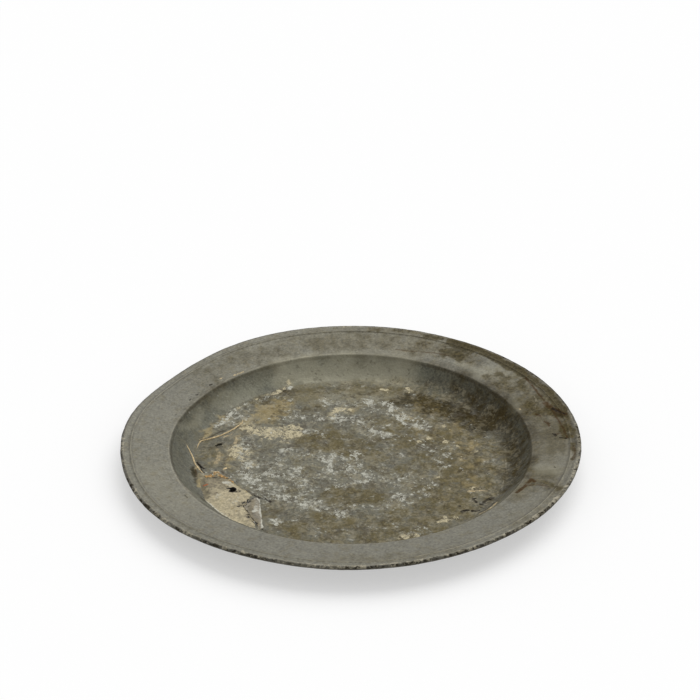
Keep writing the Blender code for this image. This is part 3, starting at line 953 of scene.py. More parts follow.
def flake_tree():
    """Scatters small flat flakes over the upper faces of a mesh, as thickly as a mask on its points says."""
    inputs = {
        "Surface": "Geometry", "Mask": "String", "Per square metre": 300000.0, "Smallest": 0.0003,
        "Largest": 0.0008, "Flatness": 0.3, "Floor radius": 0.144, "Seed": 3,
    }
    tree, given, out = shape_tree("Crust flakes", inputs)
    mask = tree.out("GeometryNodeInputNamedAttribute", {"Name": given["Mask"]}, data_type="FLOAT")
    density = tree.times(tree.calc("POWER", mask, 3.0), given["Per square metre"])
    facing = tree.parts(tree.out("GeometryNodeInputNormal"))[2]
    spot = tree.parts(tree.out("GeometryNodeInputPosition"))
    radius = tree.vector("LENGTH", tree.joined(spot[0], spot[1]))
    inside = tree.calc("LESS_THAN", radius, given["Floor radius"])
    upper = tree.times(inside, tree.calc("GREATER_THAN", facing, 0.4))
    inputs = {"Mesh": given["Surface"], "Selection": upper, "Density": density, "Seed": given["Seed"]}
    points = tree.node("GeometryNodeDistributePointsOnFaces", inputs).outputs
    flake = tree.out("GeometryNodeMeshIcoSphere", {"Radius": 1.0, "Subdivisions": 1})
    limits = {}
    for socket, name in enumerate(("Smallest", "Largest")):
        thickness = tree.times(given[name], given["Flatness"])
        limits[socket] = tree.joined(given[name], given[name], thickness)
    size = tree.out("FunctionNodeRandomValue", limits, data_type="FLOAT_VECTOR")
    limits = {0: (-0.25, -0.25, 0.0), 1: (0.25, 0.25, math.tau)}
    spin = tree.out("FunctionNodeRandomValue", limits, data_type="FLOAT_VECTOR")
    inputs = {0: points["Rotation"], 1: spin}
    turned = tree.out("FunctionNodeRotateRotation", inputs, rotation_space="LOCAL")
    inputs = {"Points": points["Points"], "Instance": flake, "Rotation": turned, "Scale": size}
    flakes = tree.out("GeometryNodeInstanceOnPoints", inputs)
    return end_tree(tree, given, flakes, out)


# Shader node groups


def speckle_group():
    """Breaks a soft mask into flecks and a haze round them: the stronger the mask, the more they cover."""
    inputs = {
        "Place": "Vector", "Mask": 0.0, "Width": 0.004, "Softness": 0.04,
        "Full cover": 0.45, "Detail": 4.0, "Seed": 0.0,
    }
    outputs = {"Flecks": "Float", "Haze": "Float"}
    tree, given, out = new_tree("Speckle", "ShaderNodeTree", inputs, outputs)
    width, softness, seed = given["Width"], given["Softness"], given["Seed"]
    stray = tree.vector("SCALE", tree.stray(given["Place"], 110.0, 2.0), scale=0.004)
    place = tree.vector("ADD", given["Place"], stray)
    grain = tree.noise(place, width, given["Detail"], 0.58, seed)
    clump = tree.noise(place, tree.times(width, 3.4), 2.0, 0.5, seed)
    grain = tree.times_plus(tree.minus(clump, 0.5), 0.7, grain)
    level = tree.ramp(given["Mask"], 0.0, 1.0, 0.76, given["Full cover"])
    present = tree.calc("MULTIPLY", given["Mask"], 5.0, clamp=True)
    flecks = tree.ramp(grain, tree.minus(level, softness), tree.plus(level, softness))
    haze = tree.ramp(grain, tree.minus(level, 0.2), tree.plus(level, 0.03))
    tree.feed(out["Flecks"], tree.times(flecks, present))
    tree.feed(out["Haze"], tree.times(haze, present))
    return tree.made


def stroke_group():
    """A mask that is full along a straight stroke in plan and fades out across its half-width.

    It falls below nothing away from the stroke. Clamped nodes would make the render keep every stroke's
    values at once, which is more than one material can hold, so the limits are plain minimum and maximum.
    """
    inputs = {
        "Place": "Vector", "Start": "Vector", "Along": "Vector", "Half width": 0.001, "Strength": 1.0,
    }
    tree, given, out = new_tree("Stroke", "ShaderNodeTree", inputs, {"Mask": "Float"})
    along, half_width = given["Along"], given["Half width"]
    off = tree.vector("SUBTRACT", given["Place"], given["Start"])
    reach = tree.vector("DOT_PRODUCT", along, along)
    share = tree.over(tree.vector("DOT_PRODUCT", off, along), reach)
    share = tree.calc("MINIMUM", tree.most(share, 0.0), 1.0)
    away = tree.vector("DISTANCE", off, tree.vector("SCALE", along, scale=share))
    inside = tree.over(tree.minus(half_width, away), tree.times(half_width, 0.45))
    tree.feed(out["Mask"], tree.times(tree.calc("MINIMUM", inside, 1.0), given["Strength"]))
    return tree.made


def mottle_group():
    """Uneven tone at three scales, around 1, to multiply a colour by, and as a share and a height."""
    inputs = {
        "Place": "Vector", "Cloud width": 0.028, "Cloud amount": 0.8, "Blotch width": 0.007,
        "Blotch amount": 0.7, "Grain width": 0.0023, "Grain amount": 2.0, "Strength": 1.0, "Seed": 0.0,
    }
    outputs = {"Tone": "Float", "Share": "Float", "Height": "Float"}
    tree, given, out = new_tree("Mottle", "ShaderNodeTree", inputs, outputs)
    levels = []
    for name, detail, rough in (("Cloud", 3.0, 0.55), ("Blotch", 3.0, 0.55), ("Grain", 2.0, 0.6)):
        level = tree.noise(given["Place"], given[f"{name} width"], detail, rough, given["Seed"])
        levels.append(tree.minus(level, 0.5))
    cloud, blotch, grain = levels
    broad = tree.times(cloud, given["Cloud amount"])
    broad = tree.times_plus(blotch, given["Blotch amount"], broad)
    grainy = tree.times_plus(grain, given["Grain amount"], 1.0)
    tree.feed(out["Tone"], tree.times_plus(broad, given["Strength"], grainy))
    tree.feed(out["Share"], tree.plus(tree.times(cloud, 1.3), blotch))
    tree.feed(out["Height"], tree.plus(grain, tree.times(blotch, 1.5)))
    return tree.made


SHARED_GROUPS = {"Speckle": speckle_group, "Stroke": stroke_group, "Mottle": mottle_group}


def shared_group(name):
    """A shader group that several materials use, built when it is first asked for."""
    return bpy.data.node_groups.get(name) or SHARED_GROUPS[name]()


# Materials


def start_material(name):
    made = bpy.data.materials.new(name)
    made.use_nodes = True
    tree = Tree(made.node_tree)
    shader = made.node_tree.nodes["Principled BSDF"].inputs
    return made, tree, shader, tree.out("ShaderNodeTexCoord", output="Object")


def add_bump(tree, shader, height, distance, strength):
    inputs = {"Height": height, "Distance": distance, "Strength": strength}
    tree.feed(shader["Normal"], tree.out("ShaderNodeBump", inputs))


def fine_marks(tree, sketch, marks):
    """A mask of strokes, each a line of places in millimetres with a half-width and a strength."""
    mask = 0.0
    for points, half_width, strength in marks:
        for start, end in zip(points[:-1], points[1:], strict=True):
            begin = Vector((*start, 0.0)) * MM
            along = Vector((*end, 0.0)) * MM - begin
            stroke = tree.group(
                "Stroke", Place=sketch, Start=begin, Along=along,
                Half_width=half_width * MM, Strength=strength,
            )
            mask = tree.most(mask, stroke)
    return mask


def pewter_material():
    """Aged pewter: a satin rim, a green-grey wall and a stained floor under flecks of mineral crust, with
    painted highlights and painted shade on its edges, its wall and round the repair.
    """
    look, size = finish(), sizes()
    made, tree, shader, place = start_material("aged_pewter")
    both, ramp = tree.times, tree.ramp
    rim = size.rim_diameter / 2
    well = rim - size.rim_width
    foot = well - size.booge_width
    reed = rim - size.edge_band

    def speckle(mask, width, softness, cover, seed, detail=4.0):
        """The flecks of a mask and the haze round them."""
        return tree.group(
            "Speckle", "Flecks", "Haze", Place=place, Mask=mask, Width=width,
            Softness=softness, Full_cover=cover, Detail=detail, Seed=seed,
        )

    # Where the floor, the wall, the rim and the underside are
    spot = tree.parts(place)
    plan = tree.joined(spot[0], spot[1])
    radius = tree.vector("LENGTH", plan)
    stray = tree.minus(tree.noise(place, 0.012, 5.0, 0.68), 0.5)
    ragged = tree.plus(radius, both(stray, 0.012))
    climb = ramp(spot[0], -0.02, 0.11, 0.0, 0.013)
    on_floor = ramp(tree.minus(ragged, climb), foot + 0.004, foot - 0.002)
    on_flat = ramp(ragged, foot - 0.002, foot - 0.014)
    on_rim = ramp(radius, well - 0.0010, well + 0.0004)
    under = tree.mask("underside")
    above = tree.minus(1.0, under)

    # Bare metal with its patina, and the fine rings that turning left
    tone, share, height = tree.group("Mottle", "Tone", "Share", "Height", Place=place)
    rim_tone, rim_grain = tree.group(
        "Mottle", "Tone", "Height", Place=place, Strength=0.35, Grain_width=0.0021, Grain_amount=1.7, Seed=2.0
    )
    tone = tree.times_plus(on_rim, tree.minus(rim_tone, tone), tone)
    height = tree.times_plus(on_rim, tree.minus(both(rim_grain, 0.5), height), height)
    patina_mark = tree.mask("brown_patina")
    patina = ramp(tree.times_plus(patina_mark, 0.6, share), -0.05, 0.7)
    rim_patina = ramp(tree.times_plus(share, 0.4, patina_mark), 0.05, 0.95)
    floor = tree.mix(patina, look.floor_grey, look.floor_brown)
    rim_metal = tree.mix(both(rim_patina, 0.75), look.rim_grey, look.rim_brown)
    tarnish = ramp(tree.noise(place, 0.0075, 4.0, 0.65, 41.0), 0.48, 0.66, 0.0, 0.45)
    rim_metal = tree.mix(tarnish, rim_metal, look.rim_brown)
    wall = tree.mix(both(patina, 0.4), look.booge_green, look.rim_brown)
    # Painted light: the wall is drawn lighter towards the well's edge, where its top is lit like the rim
    wall = tree.tinted(wall, ramp(radius, foot, well, 0.96, 1.14))
    base = tree.mix(on_rim, tree.mix(on_floor, wall, floor), rim_metal)
    inputs = {"W": radius, "Scale": 700.0, "Detail": 3.0}
    rings = tree.out("ShaderNodeTexNoise", inputs, noise_dimensions="1D")
    base = tree.tinted(base, tree.plus(tone, both(tree.minus(rings, 0.5), 0.22)))

    # Broken lines at the well's edge, the reed and the outer edge: painted shade under the well's edge and
    # beside the reed, and painted highlights on the rim's inner corner, the reed's crest and the rounded
    # outer edge
    broken = ramp(tree.noise(place, 0.009, 4.0, 0.6, 17.0), 0.3, 0.62, 0.35, 1.0)
    turned_radius = tree.times_plus(stray, 0.0025, radius)
    for middle, half_width, amount, tint in (
        (well - 0.0014, 0.0016, 0.6, look.stain_brown),
        (well + 0.0009, 0.0009, 0.3, look.edge_pale),
        (reed - 0.0026, 0.0008, 0.24, look.edge_brown),
        (reed - 0.0008, 0.0009, 0.42, look.edge_pale),
        (reed + 0.0008, 0.0007, 0.2, look.edge_brown),
        (rim - 0.0030, 0.0007, 0.3, look.edge_pale),
    ):
        away = tree.calc("ABSOLUTE", tree.minus(turned_radius, middle))
        line = both(both(ramp(away, half_width, half_width * 0.3), broken), amount)
        base = tree.mix(line, base, tint)

    # The crusted outer edge, whose darkest outermost line is partly crust and partly painted shade on the
    # rounded edge
    crusted_edge = tree.mask("edge_crust")
    crusty = both(ramp(ragged, rim - 0.0042, rim - 0.0008), crusted_edge)
    flecked = both(ramp(ragged, rim - 0.0075, rim - 0.0015), crusted_edge)
    # Painted shade with crust: a dark line round the rounded outer edge
    outermost = ramp(tree.times_plus(stray, 0.003, radius), rim - 0.0030, rim - 0.0012)
    outermost = both(outermost, tree.times_plus(crusted_edge, 0.2, 0.5))
    edge_gaps = ramp(tree.noise(place, 0.006, 3.0, 0.6, 53.0), 0.38, 0.6, 0.45, 1.0)
    dark_edge = speckle(both(crusty, 0.8), 0.005, 0.1, 0.42, 31.0)[0]
    pale_edge = speckle(both(flecked, 0.75), 0.003, 0.05, 0.42, 33.0)[0]
    base = tree.mix(both(dark_edge, 0.75), base, look.edge_brown)
    base = tree.mix(both(outermost, edge_gaps), base, look.pit_dark)
    base = tree.mix(both(pale_edge, 0.8), base, look.edge_pale)
    base = tree.mix(under, base, tree.tinted(look.under_grey, tone))

    # Fine strokes, with crumbly gaps in them. Some dark strokes are painted shade in the open crack and the
    # nail hole, and the first pale stroke is a painted highlight on the well's edge
    sketch = tree.vector("MULTIPLY", tree.stray(plan, 280.0, 3.0), (0.0034, 0.0034, 0.0))
    sketch = tree.vector("ADD", plan, sketch)
    crumbly = tree.noise(place, 0.0035, 3.0, 0.6, 37.0)
    gaps = both(ramp(crumbly, 0.42, 0.55, 0.1, 1.0), above)
    thinner = both(ramp(crumbly, 0.36, 0.52, 0.5, 1.0), above)
    fine_dark, fine_rust, fine_tan, fine_pale = (
        both(fine_marks(tree, sketch, marks), gappy)
        for marks, gappy in ((FINE_DARK, thinner), (FINE_RUST, thinner), (FINE_TAN, gaps), (FINE_PALE, gaps))
    )

    # Stains, crust and pits, broken into flecks, with painted shade and painted light laid on the wall, the
    # rim and round the repair
    cream_mask = tree.mask("cream_crust")
    bare = tree.minus(1.0, tree.most(both(patina_mark, 0.6), tree.mask("smooth_grey")))
    scatter = both(both(ramp(share, -0.25, 0.2, 0.46, 0.1), on_flat), both(above, bare))
    white_mask = tree.most(tree.mask("white_crust"), scatter)
    dusted = ramp(on_flat, 0.0, 1.0, 0.1, tree.times_plus(white_mask, 0.6, 0.08))
    dusted = both(dusted, tree.minus(1.0, on_rim))
    crusted = tree.most(white_mask, cream_mask)
    gloomy = both(tree.times_plus(crusted, 0.3, 0.42), on_floor)
    brown, brown_haze = speckle(tree.mask("brown_stain"), 0.011, 0.14, 0.36, 3.0)
    ochre, ochre_haze = speckle(tree.mask("ochre_stain"), 0.008, 0.1, 0.42, 5.0)
    cream, cream_haze = speckle(cream_mask, 0.0045, 0.035, 0.43, 7.0, 2.5)
    white, white_haze = speckle(white_mask, 0.0037, 0.035, 0.465, 9.0, 2.5)
    # Dark streaks, with painted shadows of the fill and the back bead and painted shade along the crack
    streaks = speckle(tree.mask("streak_and_shadow_marks"), 0.006, 0.12, 0.34, 11.0)[0]
    pits = speckle(tree.mask("dark_pits"), 0.003, 0.08, 0.38, 13.0)[0]
    specks = speckle(ramp(on_rim, 0.0, 1.0, 0.38, 0.2), 0.003, 0.06, 0.4, 15.0)[0]
    dust = speckle(dusted, 0.003, 0.05, 0.42, 19.0)[0]
    tan = speckle(both(on_floor, 0.5), 0.0027, 0.07, 0.38, 23.0)[0]
    gloom = speckle(gloomy, 0.0042, 0.04, 0.44, 47.0, 2.0)[0]
    threads = tree.calc("ABSOLUTE", tree.minus(tree.noise(place, 0.0042, 2.0, 0.6, 43.0), 0.5))
    lacy = ramp(threads, 0.1, 0.04, 0.3, 1.0)
    ochre, cream, white = both(ochre, lacy), both(cream, lacy), both(white, lacy)
    # Painted shade, laid together with dark staining, from the shaded marks
    shaded = both(tree.mask("shaded"), ramp(share, -0.3, 0.25, 0.55, 1.0))
    grainy = ramp(tone, 0.4, 1.6, 0.35, 1.65)
    shade_tint = tree.tinted(look.stain_brown, grainy)
    brown_tint = tree.mix(on_rim, shade_tint, tree.tinted(look.rim_stain, grainy))
    for mask, amount, tint in (
        (shaded, 0.9, shade_tint),
        # Pale wear, with painted light on the wall at the back
        (tree.mask("pale_wear_and_light"), 0.55, look.worn_grey),
        (brown_haze, 0.42, brown_tint),
        (brown, 0.4, brown_tint),
        (ochre_haze, 0.35, look.ochre),
        (ochre, 0.6, look.ochre),
        (both(tan, above), 0.28, look.fleck_tan),
        (both(specks, above), 0.38, look.edge_brown),
        (cream_haze, 0.16, look.crust_cream),
        (white_haze, 0.12, look.crust_white),
        (both(dust, above), 0.32, look.crust_white),
        (both(gloom, above), 0.5, look.stain_brown),
        (cream, 0.9, look.crust_cream),
        (white, 0.92, look.crust_white),
        # Pale streaks, with a painted highlight on the well's edge
        (fine_pale, 0.8, look.edge_pale),
        (fine_tan, 1.0, look.putty_tan),
        (streaks, 0.75, look.stain_brown),
        (fine_rust, 1.0, look.stain_rust),
        # Pits and dark lines, with painted shade in the crack and the nail hole
        (fine_dark, 1.0, look.pit_dark),
        (pits, 1.0, look.pit_dark),
    ):
        base = tree.mix(both(mask, amount), base, tint)
    tree.feed(shader["Base Color"], base)

    # Stains and crust are duller and rougher than the metal, and pits shine least
    crust = tree.most(cream, white, dark_edge)
    dull = tree.most(crust, both(tree.most(brown, shaded, both(patina, 0.6)), 0.8))
    matt = tree.most(dull, fine_dark, fine_rust, both(on_floor, 0.3), pits)
    tree.feed(shader["Metallic"], ramp(dull, 0.0, 1.0, 0.5, 0.0))
    tree.feed(shader["Specular IOR Level"], ramp(matt, 0.0, 1.0, 0.3, 0.03))
    tree.feed(shader["Roughness"], tree.plus(ramp(dull, 0.0, 1.0, 0.5, 0.9), both(height, 0.25)))
    relief = tree.plus(height, tree.minus(both(crust, 2.0), both(pits, 4.0)))
    add_bump(tree, shader, relief, 0.0003, 0.9)
    return made


def putty_material(name, tint, seed):
    """Dry putty: chalky, clouded and finely pitted. Its masks also carry painted shade in the fill's hole and
    at the break, and a painted glint on the broken end.
    """
    look = finish()
    made, tree, shader, place = start_material(name)
    tone, height = tree.group(
        "Mottle", "Tone", "Height", Place=place, Cloud_width=0.014, Strength=0.5, Seed=seed
    )

    def speckle(mask, width, softness, **cover):
        return tree.group(
            "Speckle", Place=place, Mask=tree.mask(mask), Width=width, Softness=softness, Seed=seed, **cover
        )

    base = tree.tinted(tint, tone)
    for mask, width, softness, amount, layer in (
        ("grey_wear", 0.007, 0.16, 0.85, look.putty_worn),
        ("brown_wash", 0.010, 0.2, 0.8, look.rim_brown),
        ("ochre_stain", 0.005, 0.12, 0.85, look.ochre),
        # Pale dust, with a painted glint on the broken end
        ("dust_and_glint", 0.004, 0.12, 0.7, look.crust_white),
        ("rust_spot", 0.004, 0.12, 0.9, look.rust),
    ):
        share = speckle(mask, width, softness, Full_cover=0.38)
        base = tree.mix(tree.times(share, amount), base, tree.tinted(layer, tone))
    # Pits, with painted shade in the gap at the break, and painted shade in the hole and on its wall
    pits = speckle("dark_pits", 0.003, 0.08)
    base = tree.mix(tree.most(pits, tree.mask("hole_painted_shade")), base, look.pit_dark)
    tree.feed(shader["Base Color"], base)
    tree.feed(shader["Roughness"], tree.plus(0.82, tree.times(height, 0.2)))
    add_bump(tree, shader, tree.minus(height, tree.times(pits, 3.0)), 0.0003, 0.9)
    return made


def crust_material(name, tint, seed):
    """Dry mineral crust, a little different from flake to flake."""
    made, tree, shader, place = start_material(name)
    tone, height = tree.group(
        "Mottle", "Tone", "Height", Place=place, Cloud_width=0.01, Strength=0.8, Seed=seed
    )
    tree.feed(shader["Base Color"], tree.tinted(tint, tone))
    tree.feed(shader["Roughness"], tree.plus(0.88, tree.times(height, 0.2)))
    add_bump(tree, shader, height, 0.0001, 0.7)
    return made


# The casting


def booge_height(radius):
    """Height of the floor and the curved wall at a distance from the middle."""
    size = sizes()
    foot = size.rim_diameter / 2 - size.rim_width - size.booge_width
    share = np.clip((np.asarray(radius) - foot) / size.booge_width, 0.0, 1.0)
    return size.wall + size.well_depth * share**size.booge_curve


def rim_height(radius):
    """Height of the rim at a distance from the middle."""
    size = sizes()
    well = size.rim_diameter / 2 - size.rim_width
    return size.wall + size.well_depth + size.rim_rise * (radius - well) / size.rim_width


def section_points():
    """Half section of the casting, from the middle of the top, round the rim, to the middle of the base."""
    size = sizes()
    rim = size.rim_diameter / 2
    well = rim - size.rim_width
    foot = well - size.booge_width
    reed = rim - size.edge_band
    roundness = size.edge_thickness / 2
    edge_height = rim_height(rim - roundness) - roundness
    lip = 1.1 * MM
    points = [(radius, size.wall) for radius in np.linspace(0.0, foot, 72, endpoint=False)]
    points += [(radius, float(booge_height(radius))) for radius in np.linspace(foot, well - lip, 20)]
    start, middle, end = float(booge_height(well - lip)), rim_height(well), rim_height(well + lip)
    for share in np.linspace(0.15, 1.0, 5):
        height = start * (1 - share) ** 2 + 2 * middle * share * (1 - share) + end * share**2
        points.append((well - lip + 2 * lip * share, height))
    for radius in np.linspace(well + 2 * lip, reed - size.reed_width, 16, endpoint=False):
        points.append((radius, rim_height(radius)))
    for share in np.linspace(0.0, 1.0, 9):
        radius = reed - size.reed_width * (1 - share)
        points.append((radius, rim_height(radius) + size.reed_height * math.sin(math.pi * share) ** 0.8))
    groove_end = rim - 2 * roundness
    for share in np.linspace(0.12, 1.0, 7):
        radius = reed + (groove_end - reed) * share
        groove = 0.3 * MM * math.sin(math.pi * min(share * 1.15, 1.0))
        points.append((radius, rim_height(radius) - groove))
    for share in np.linspace(0.1, 1.0, 12):
        turn = math.pi / 2 - math.pi * share
        radius = rim - roundness + roundness * math.cos(turn)
        points.append((radius, edge_height + roundness * math.sin(turn)))
    for radius in np.linspace(rim - 2.4 * roundness, well + size.wall, 12):
        points.append((radius, rim_height(radius) - size.wall))
    steepest = size.booge_curve * size.well_depth / size.booge_width
    for radius in np.linspace(well, foot, 12, endpoint=False)[1:]:
        share = (radius - foot) / size.booge_width
        slope = math.atan(steepest * share ** (size.booge_curve - 1))
        height = float(booge_height(radius)) - size.wall * math.cos(slope)
        points.append((radius + size.wall * math.sin(slope), height))
    points += [(radius, 0.0) for radius in np.linspace(foot, 0.0, 20)]
    return points


def ragged_outline(outline, jag, step=1.2):
    """The outline divided into short steps that stray from it by up to about jag millimetres."""
    ring = []
    for start, end in zip(outline, (*outline[1:], outline[0]), strict=True):
        parts = max(1, round(math.dist(start, end) / step)) if jag else 1
        for part in range(parts):
            x, y = (a + (b - a) * part / parts for a, b in zip(start, end, strict=True))
            stray = drift(x * 0.31, y * 0.31, 3.7)
            ring.append((x + jag * stray[0], y + jag * stray[1]))
    return ring


def add_prism(mesh, ring, low, high):
    """Adds a closed upright prism on a ring of plan places in millimetres to a mesh."""
    shape = bmesh.new()
    shape.from_mesh(mesh)
    bottom = [shape.verts.new((x * MM, y * MM, low)) for x, y in ring]
    top = [shape.verts.new((x * MM, y * MM, high)) for x, y in ring]
    made = [shape.faces.new(bottom), shape.faces.new(top)]
    for index in range(len(ring)):
        after = (index + 1) % len(ring)
        made.append(shape.faces.new((bottom[index], bottom[after], top[after], top[index])))
    bmesh.ops.recalc_face_normals(shape, faces=made)
    shape.to_mesh(mesh)
    shape.free()


def cut_away(thing, cuts):
    """Cuts upright holes in a piece, each with a name, a ring of plan places and the height of its bottom."""
    cutters = []
    for name, ring, bottom in cuts:
        mesh = bpy.data.meshes.new(name)
        add_prism(mesh, ring, bottom, CUT_REACH)
        cutters.append(put_in_scene(name, mesh))
        modifier = thing.modifiers.new(name, "BOOLEAN")
        modifier.operation = "DIFFERENCE"
        modifier.object = cutters[-1]
        modifier.solver = "EXACT"
    bake_modifiers(thing)
    for cutter in cutters:
        bpy.data.objects.remove(cutter, do_unlink=True)


def blob(middle, wide, tall, turn, points=14):
    """Plan outline of a ragged oval hole, in millimetres."""
    ring = []
    for step in range(points):
        angle = math.tau * step / points
        spot = Vector((math.cos(angle) * 1.7, math.sin(angle) * 1.7, middle[0] * 0.13))
        ragged = 1 + 0.55 * noise.noise(spot)
        x, y = wide / 2 * ragged * math.cos(angle), tall / 2 * ragged * math.sin(angle)
        across = x * math.cos(turn) - y * math.sin(turn)
        along = x * math.sin(turn) + y * math.cos(turn)
        ring.append((middle[0] + across, middle[1] + along))
    return ring


def under_faces(places):
    """Which places of the unbent casting are on its underside, below the middle of the metal."""
    size = sizes()
    rim = size.rim_diameter / 2
    radius = np.hypot(places[:, 0], places[:, 1])
    upper = np.where(radius < rim - size.rim_width, booge_height(radius), rim_height(radius))
    thickness = np.where(radius > rim - size.edge_thickness, size.edge_thickness, size.wall)
    return places[:, 2] < upper - thickness / 2


def bake_map(mesh):
    """A UV map for the baked finish: the upper side as a large disc and the underside as a smaller one."""
    section = np.array(section_points())
    outermost = int(np.argmax(section[:, 0]))
    run = np.concatenate([[0.0], np.cumsum(np.hypot(*np.diff(section, axis=0).T))])
    places = vertex_places(mesh)
    radius = np.hypot(places[:, 0], places[:, 1])
    upper = np.interp(radius, section[: outermost + 1, 0], run[: outermost + 1]) / run[outermost]
    under_run = run[-1] - run[outermost:]
    lower = np.interp(radius, section[outermost:, 0][::-1], under_run[::-1]) / under_run[0]
    direction = places[:, :2] / np.maximum(radius, 1e-9)[:, None]
    corners = np.empty(len(mesh.loops), dtype=np.int32)
    mesh.loops.foreach_get("vertex_index", corners)
    centres = np.empty(len(mesh.polygons) * 3)
    mesh.polygons.foreach_get("center", centres)
    totals = np.empty(len(mesh.polygons), dtype=np.int32)
    mesh.polygons.foreach_get("loop_total", totals)
    below = np.repeat(under_faces(centres.reshape(-1, 3)), totals)
    top_disc, under_disc, margin = 0.40, 0.172, 0.005
    spot_top = top_disc + margin + direction[corners] * (upper[corners] * top_disc)[:, None]
    spot_under = 1 - under_disc - margin + direction[corners] * (lower[corners] * under_disc)[:, None]
    spots = np.where(below[:, None], spot_under, spot_top)
    layer = mesh.uv_layers.new(name="OFBake")
    layer.data.foreach_set("uv", np.ascontiguousarray(spots, dtype=np.float32).ravel())


def paint_casting(mesh):
    """Stores where each kind of stain, crust and pit lies, as soft masks on the points."""
    places = vertex_places(mesh)
    plan = places[:, :2] / MM
    under = under_faces(places)
    wander = wandering(plan)
    for name, marks in (
        ("white_crust", (*CRUST_ZONES, *WHITE_CRUST)),
        ("cream_crust", CREAM_CRUST),
        ("ochre_stain", OCHRE_STAIN),
        ("brown_stain", BROWN_STAIN),
        ("brown_patina", PATINA),
        ("shaded", SHADED),
        ("pale_wear_and_light", PALE_WEAR_AND_LIGHT),
        ("smooth_grey", SMOOTH_GREY),
        ("streak_and_shadow_marks", STREAK_AND_SHADOW_MARKS),
        ("dark_pits", DARK_PITS),
    ):
        store_mask(mesh, name, np.where(under, 0.0, mark_mask(plan, marks, wander)))
    store_mask(mesh, "underside", under.astype(float))
    store_mask(mesh, "edge_crust", mark_mask(plan, EDGE_CRUST, wander))


class PLATTER_OT_casting(bpy.types.Operator):
    """Build the casting: floor, booge, rim, reed and edge, with its bends, tear and stains"""

    bl_idname = "platter.casting"
    bl_label = "Casting"

    def execute(self, context):
        pewter = pewter_material()
        section = bpy.data.meshes.new("casting")
        section.from_pydata([(radius, 0.0, height) for radius, height in section_points()], [], [])
        casting = put_in_scene("platter_casting", section)
        node_modifier(casting, turned_tree(), Steps=sizes().turn_steps, Finish=pewter)
        bake_modifiers(casting)
        cuts = (
            ("tear", ragged_outline(TEAR_OUTLINE, 1.2), -CUT_REACH),
            ("nail_hole", blob(*NAIL_HOLE), HOLE_BOTTOM),
            ("open_crack", CRACK_GAP, HOLE_BOTTOM),
        )
        cut_away(casting, cuts)
        bake_map(casting.data)
        paint_casting(casting.data)
        node_modifier(casting, aged_tree(), **aged_inputs(), Finish=pewter)
        bake_modifiers(casting)
        casting.data.shade_smooth()
        casting.data.set_sharp_from_angle(angle=math.radians(50))
        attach(casting, BODY)
        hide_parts("platter_body")
        return {"FINISHED"}


# The repair


def putty_slab(name, outline, plug, cap, lip=None):
    """A putty piece: a cap with a worn edge that lies on the floor, and a plug through the tear."""
    mesh = bpy.data.meshes.new(name)
    floor = sizes().wall
    ring = ragged_outline(outline, 1.1)
    add_prism(mesh, ring, floor - 0.8 * MM, floor + cap)
    if plug:
        add_prism(mesh, ragged_outline(plug, 0.8), PLUG_BOTTOM, floor - 0.3 * MM)
    slab = put_in_scene(name, mesh)
    remesh = slab.modifiers.new("Even faces", "REMESH")
    remesh.mode = "VOXEL"
    remesh.voxel_size = PUTTY_GRAIN
    bake_modifiers(slab)
    places = vertex_places(slab.data)
    plan = places[:, :2] / MM
    crown = 0.28 + 0.72 * smooth_step(0.0, 7.0, line_distance(plan, (*ring, ring[0])))
    if lip:
        crown += 0.35 * smooth_step(3.5, 0.5, line_distance(plan, lip))
    rough = []
    for x, y in plan:
        broad = noise.noise(Vector((x * 0.09, y * 0.09, 1.3)))
        fine = noise.fractal(Vector((x * 0.4, y * 0.4, 5.1)), 0.8, 2.0, 4)
        rough.append(0.16 * broad + 0.1 * fine)
    rise = places[:, 2] - floor
    shaped = np.where(rise > 0.2 * MM, rise * np.clip(crown + np.array(rough), 0.2, None), rise)
    ground = booge_height(np.hypot(places[:, 0], places[:, 1]))
    places[:, 2] = np.where(rise > -MM, ground, floor) + shaped
    slab.data.vertices.foreach_set("co", np.ascontiguousarray(places, dtype=np.float32).ravel())
    slab.data.update()
    return slab


def paint_putty(slab, stains):
    plan = vertex_places(slab.data)[:, :2] / MM
    wander = wandering(plan)
    for name, marks in stains.items():
        store_mask(slab.data, name, mark_mask(plan, marks, wander))


def darken_hole(slab, ring, middle):
    """Stores where the slab's hole and its wall are, so that they can be painted dark as shade."""
    plan = vertex_places(slab.data)[:, :2] / MM
    inside = smooth_step(3.6, 3.0, np.hypot(*(plan - np.array(middle)).T))
    wall = smooth_step(0.6, 0.3, line_distance(plan, (*ring, ring[0])))
    store_mask(slab.data, "hole_painted_shade", np.maximum(inside, wall))


class PLATTER_OT_fill(bpy.types.Operator):
    """Build the putty fill over the tear, and its broken grey end"""

    bl_idname = "platter.fill"
    bl_label = "Putty fill"

    def execute(self, context):
        look = finish()
        fill = putty_slab("putty_fill", FILL_OUTLINE, FILL_PLUG, FILL_CAP)
        hole = ragged_outline(blob(*FILL_HOLE), 1.5, 1.6)
        cut_away(fill, (("fill_hole", hole, HOLE_BOTTOM),))
        paint_putty(fill, FILL_STAINS)
        darken_hole(fill, hole, FILL_HOLE[0])
        end = putty_slab("putty_fill_end", FILL_END_OUTLINE, None, FILL_END_CAP, FILL_END_LIP)
        paint_putty(end, FILL_END_STAINS)
        for piece, node, slot, tint, seed in (
            (fill, "repair_fill", "pale_putty", look.putty_cream, 21.0),
            (end, "repair_fill_end", "grey_putty", look.putty_grey, 23.0),
        ):
            piece.data.materials.clear()
            piece.data.materials.append(putty_material(slot, tint, seed))
            piece.data.shade_smooth()
            piece.data.set_sharp_from_angle(angle=math.radians(55))
            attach(piece, BODY)
            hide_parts(node)
        return {"FINISHED"}


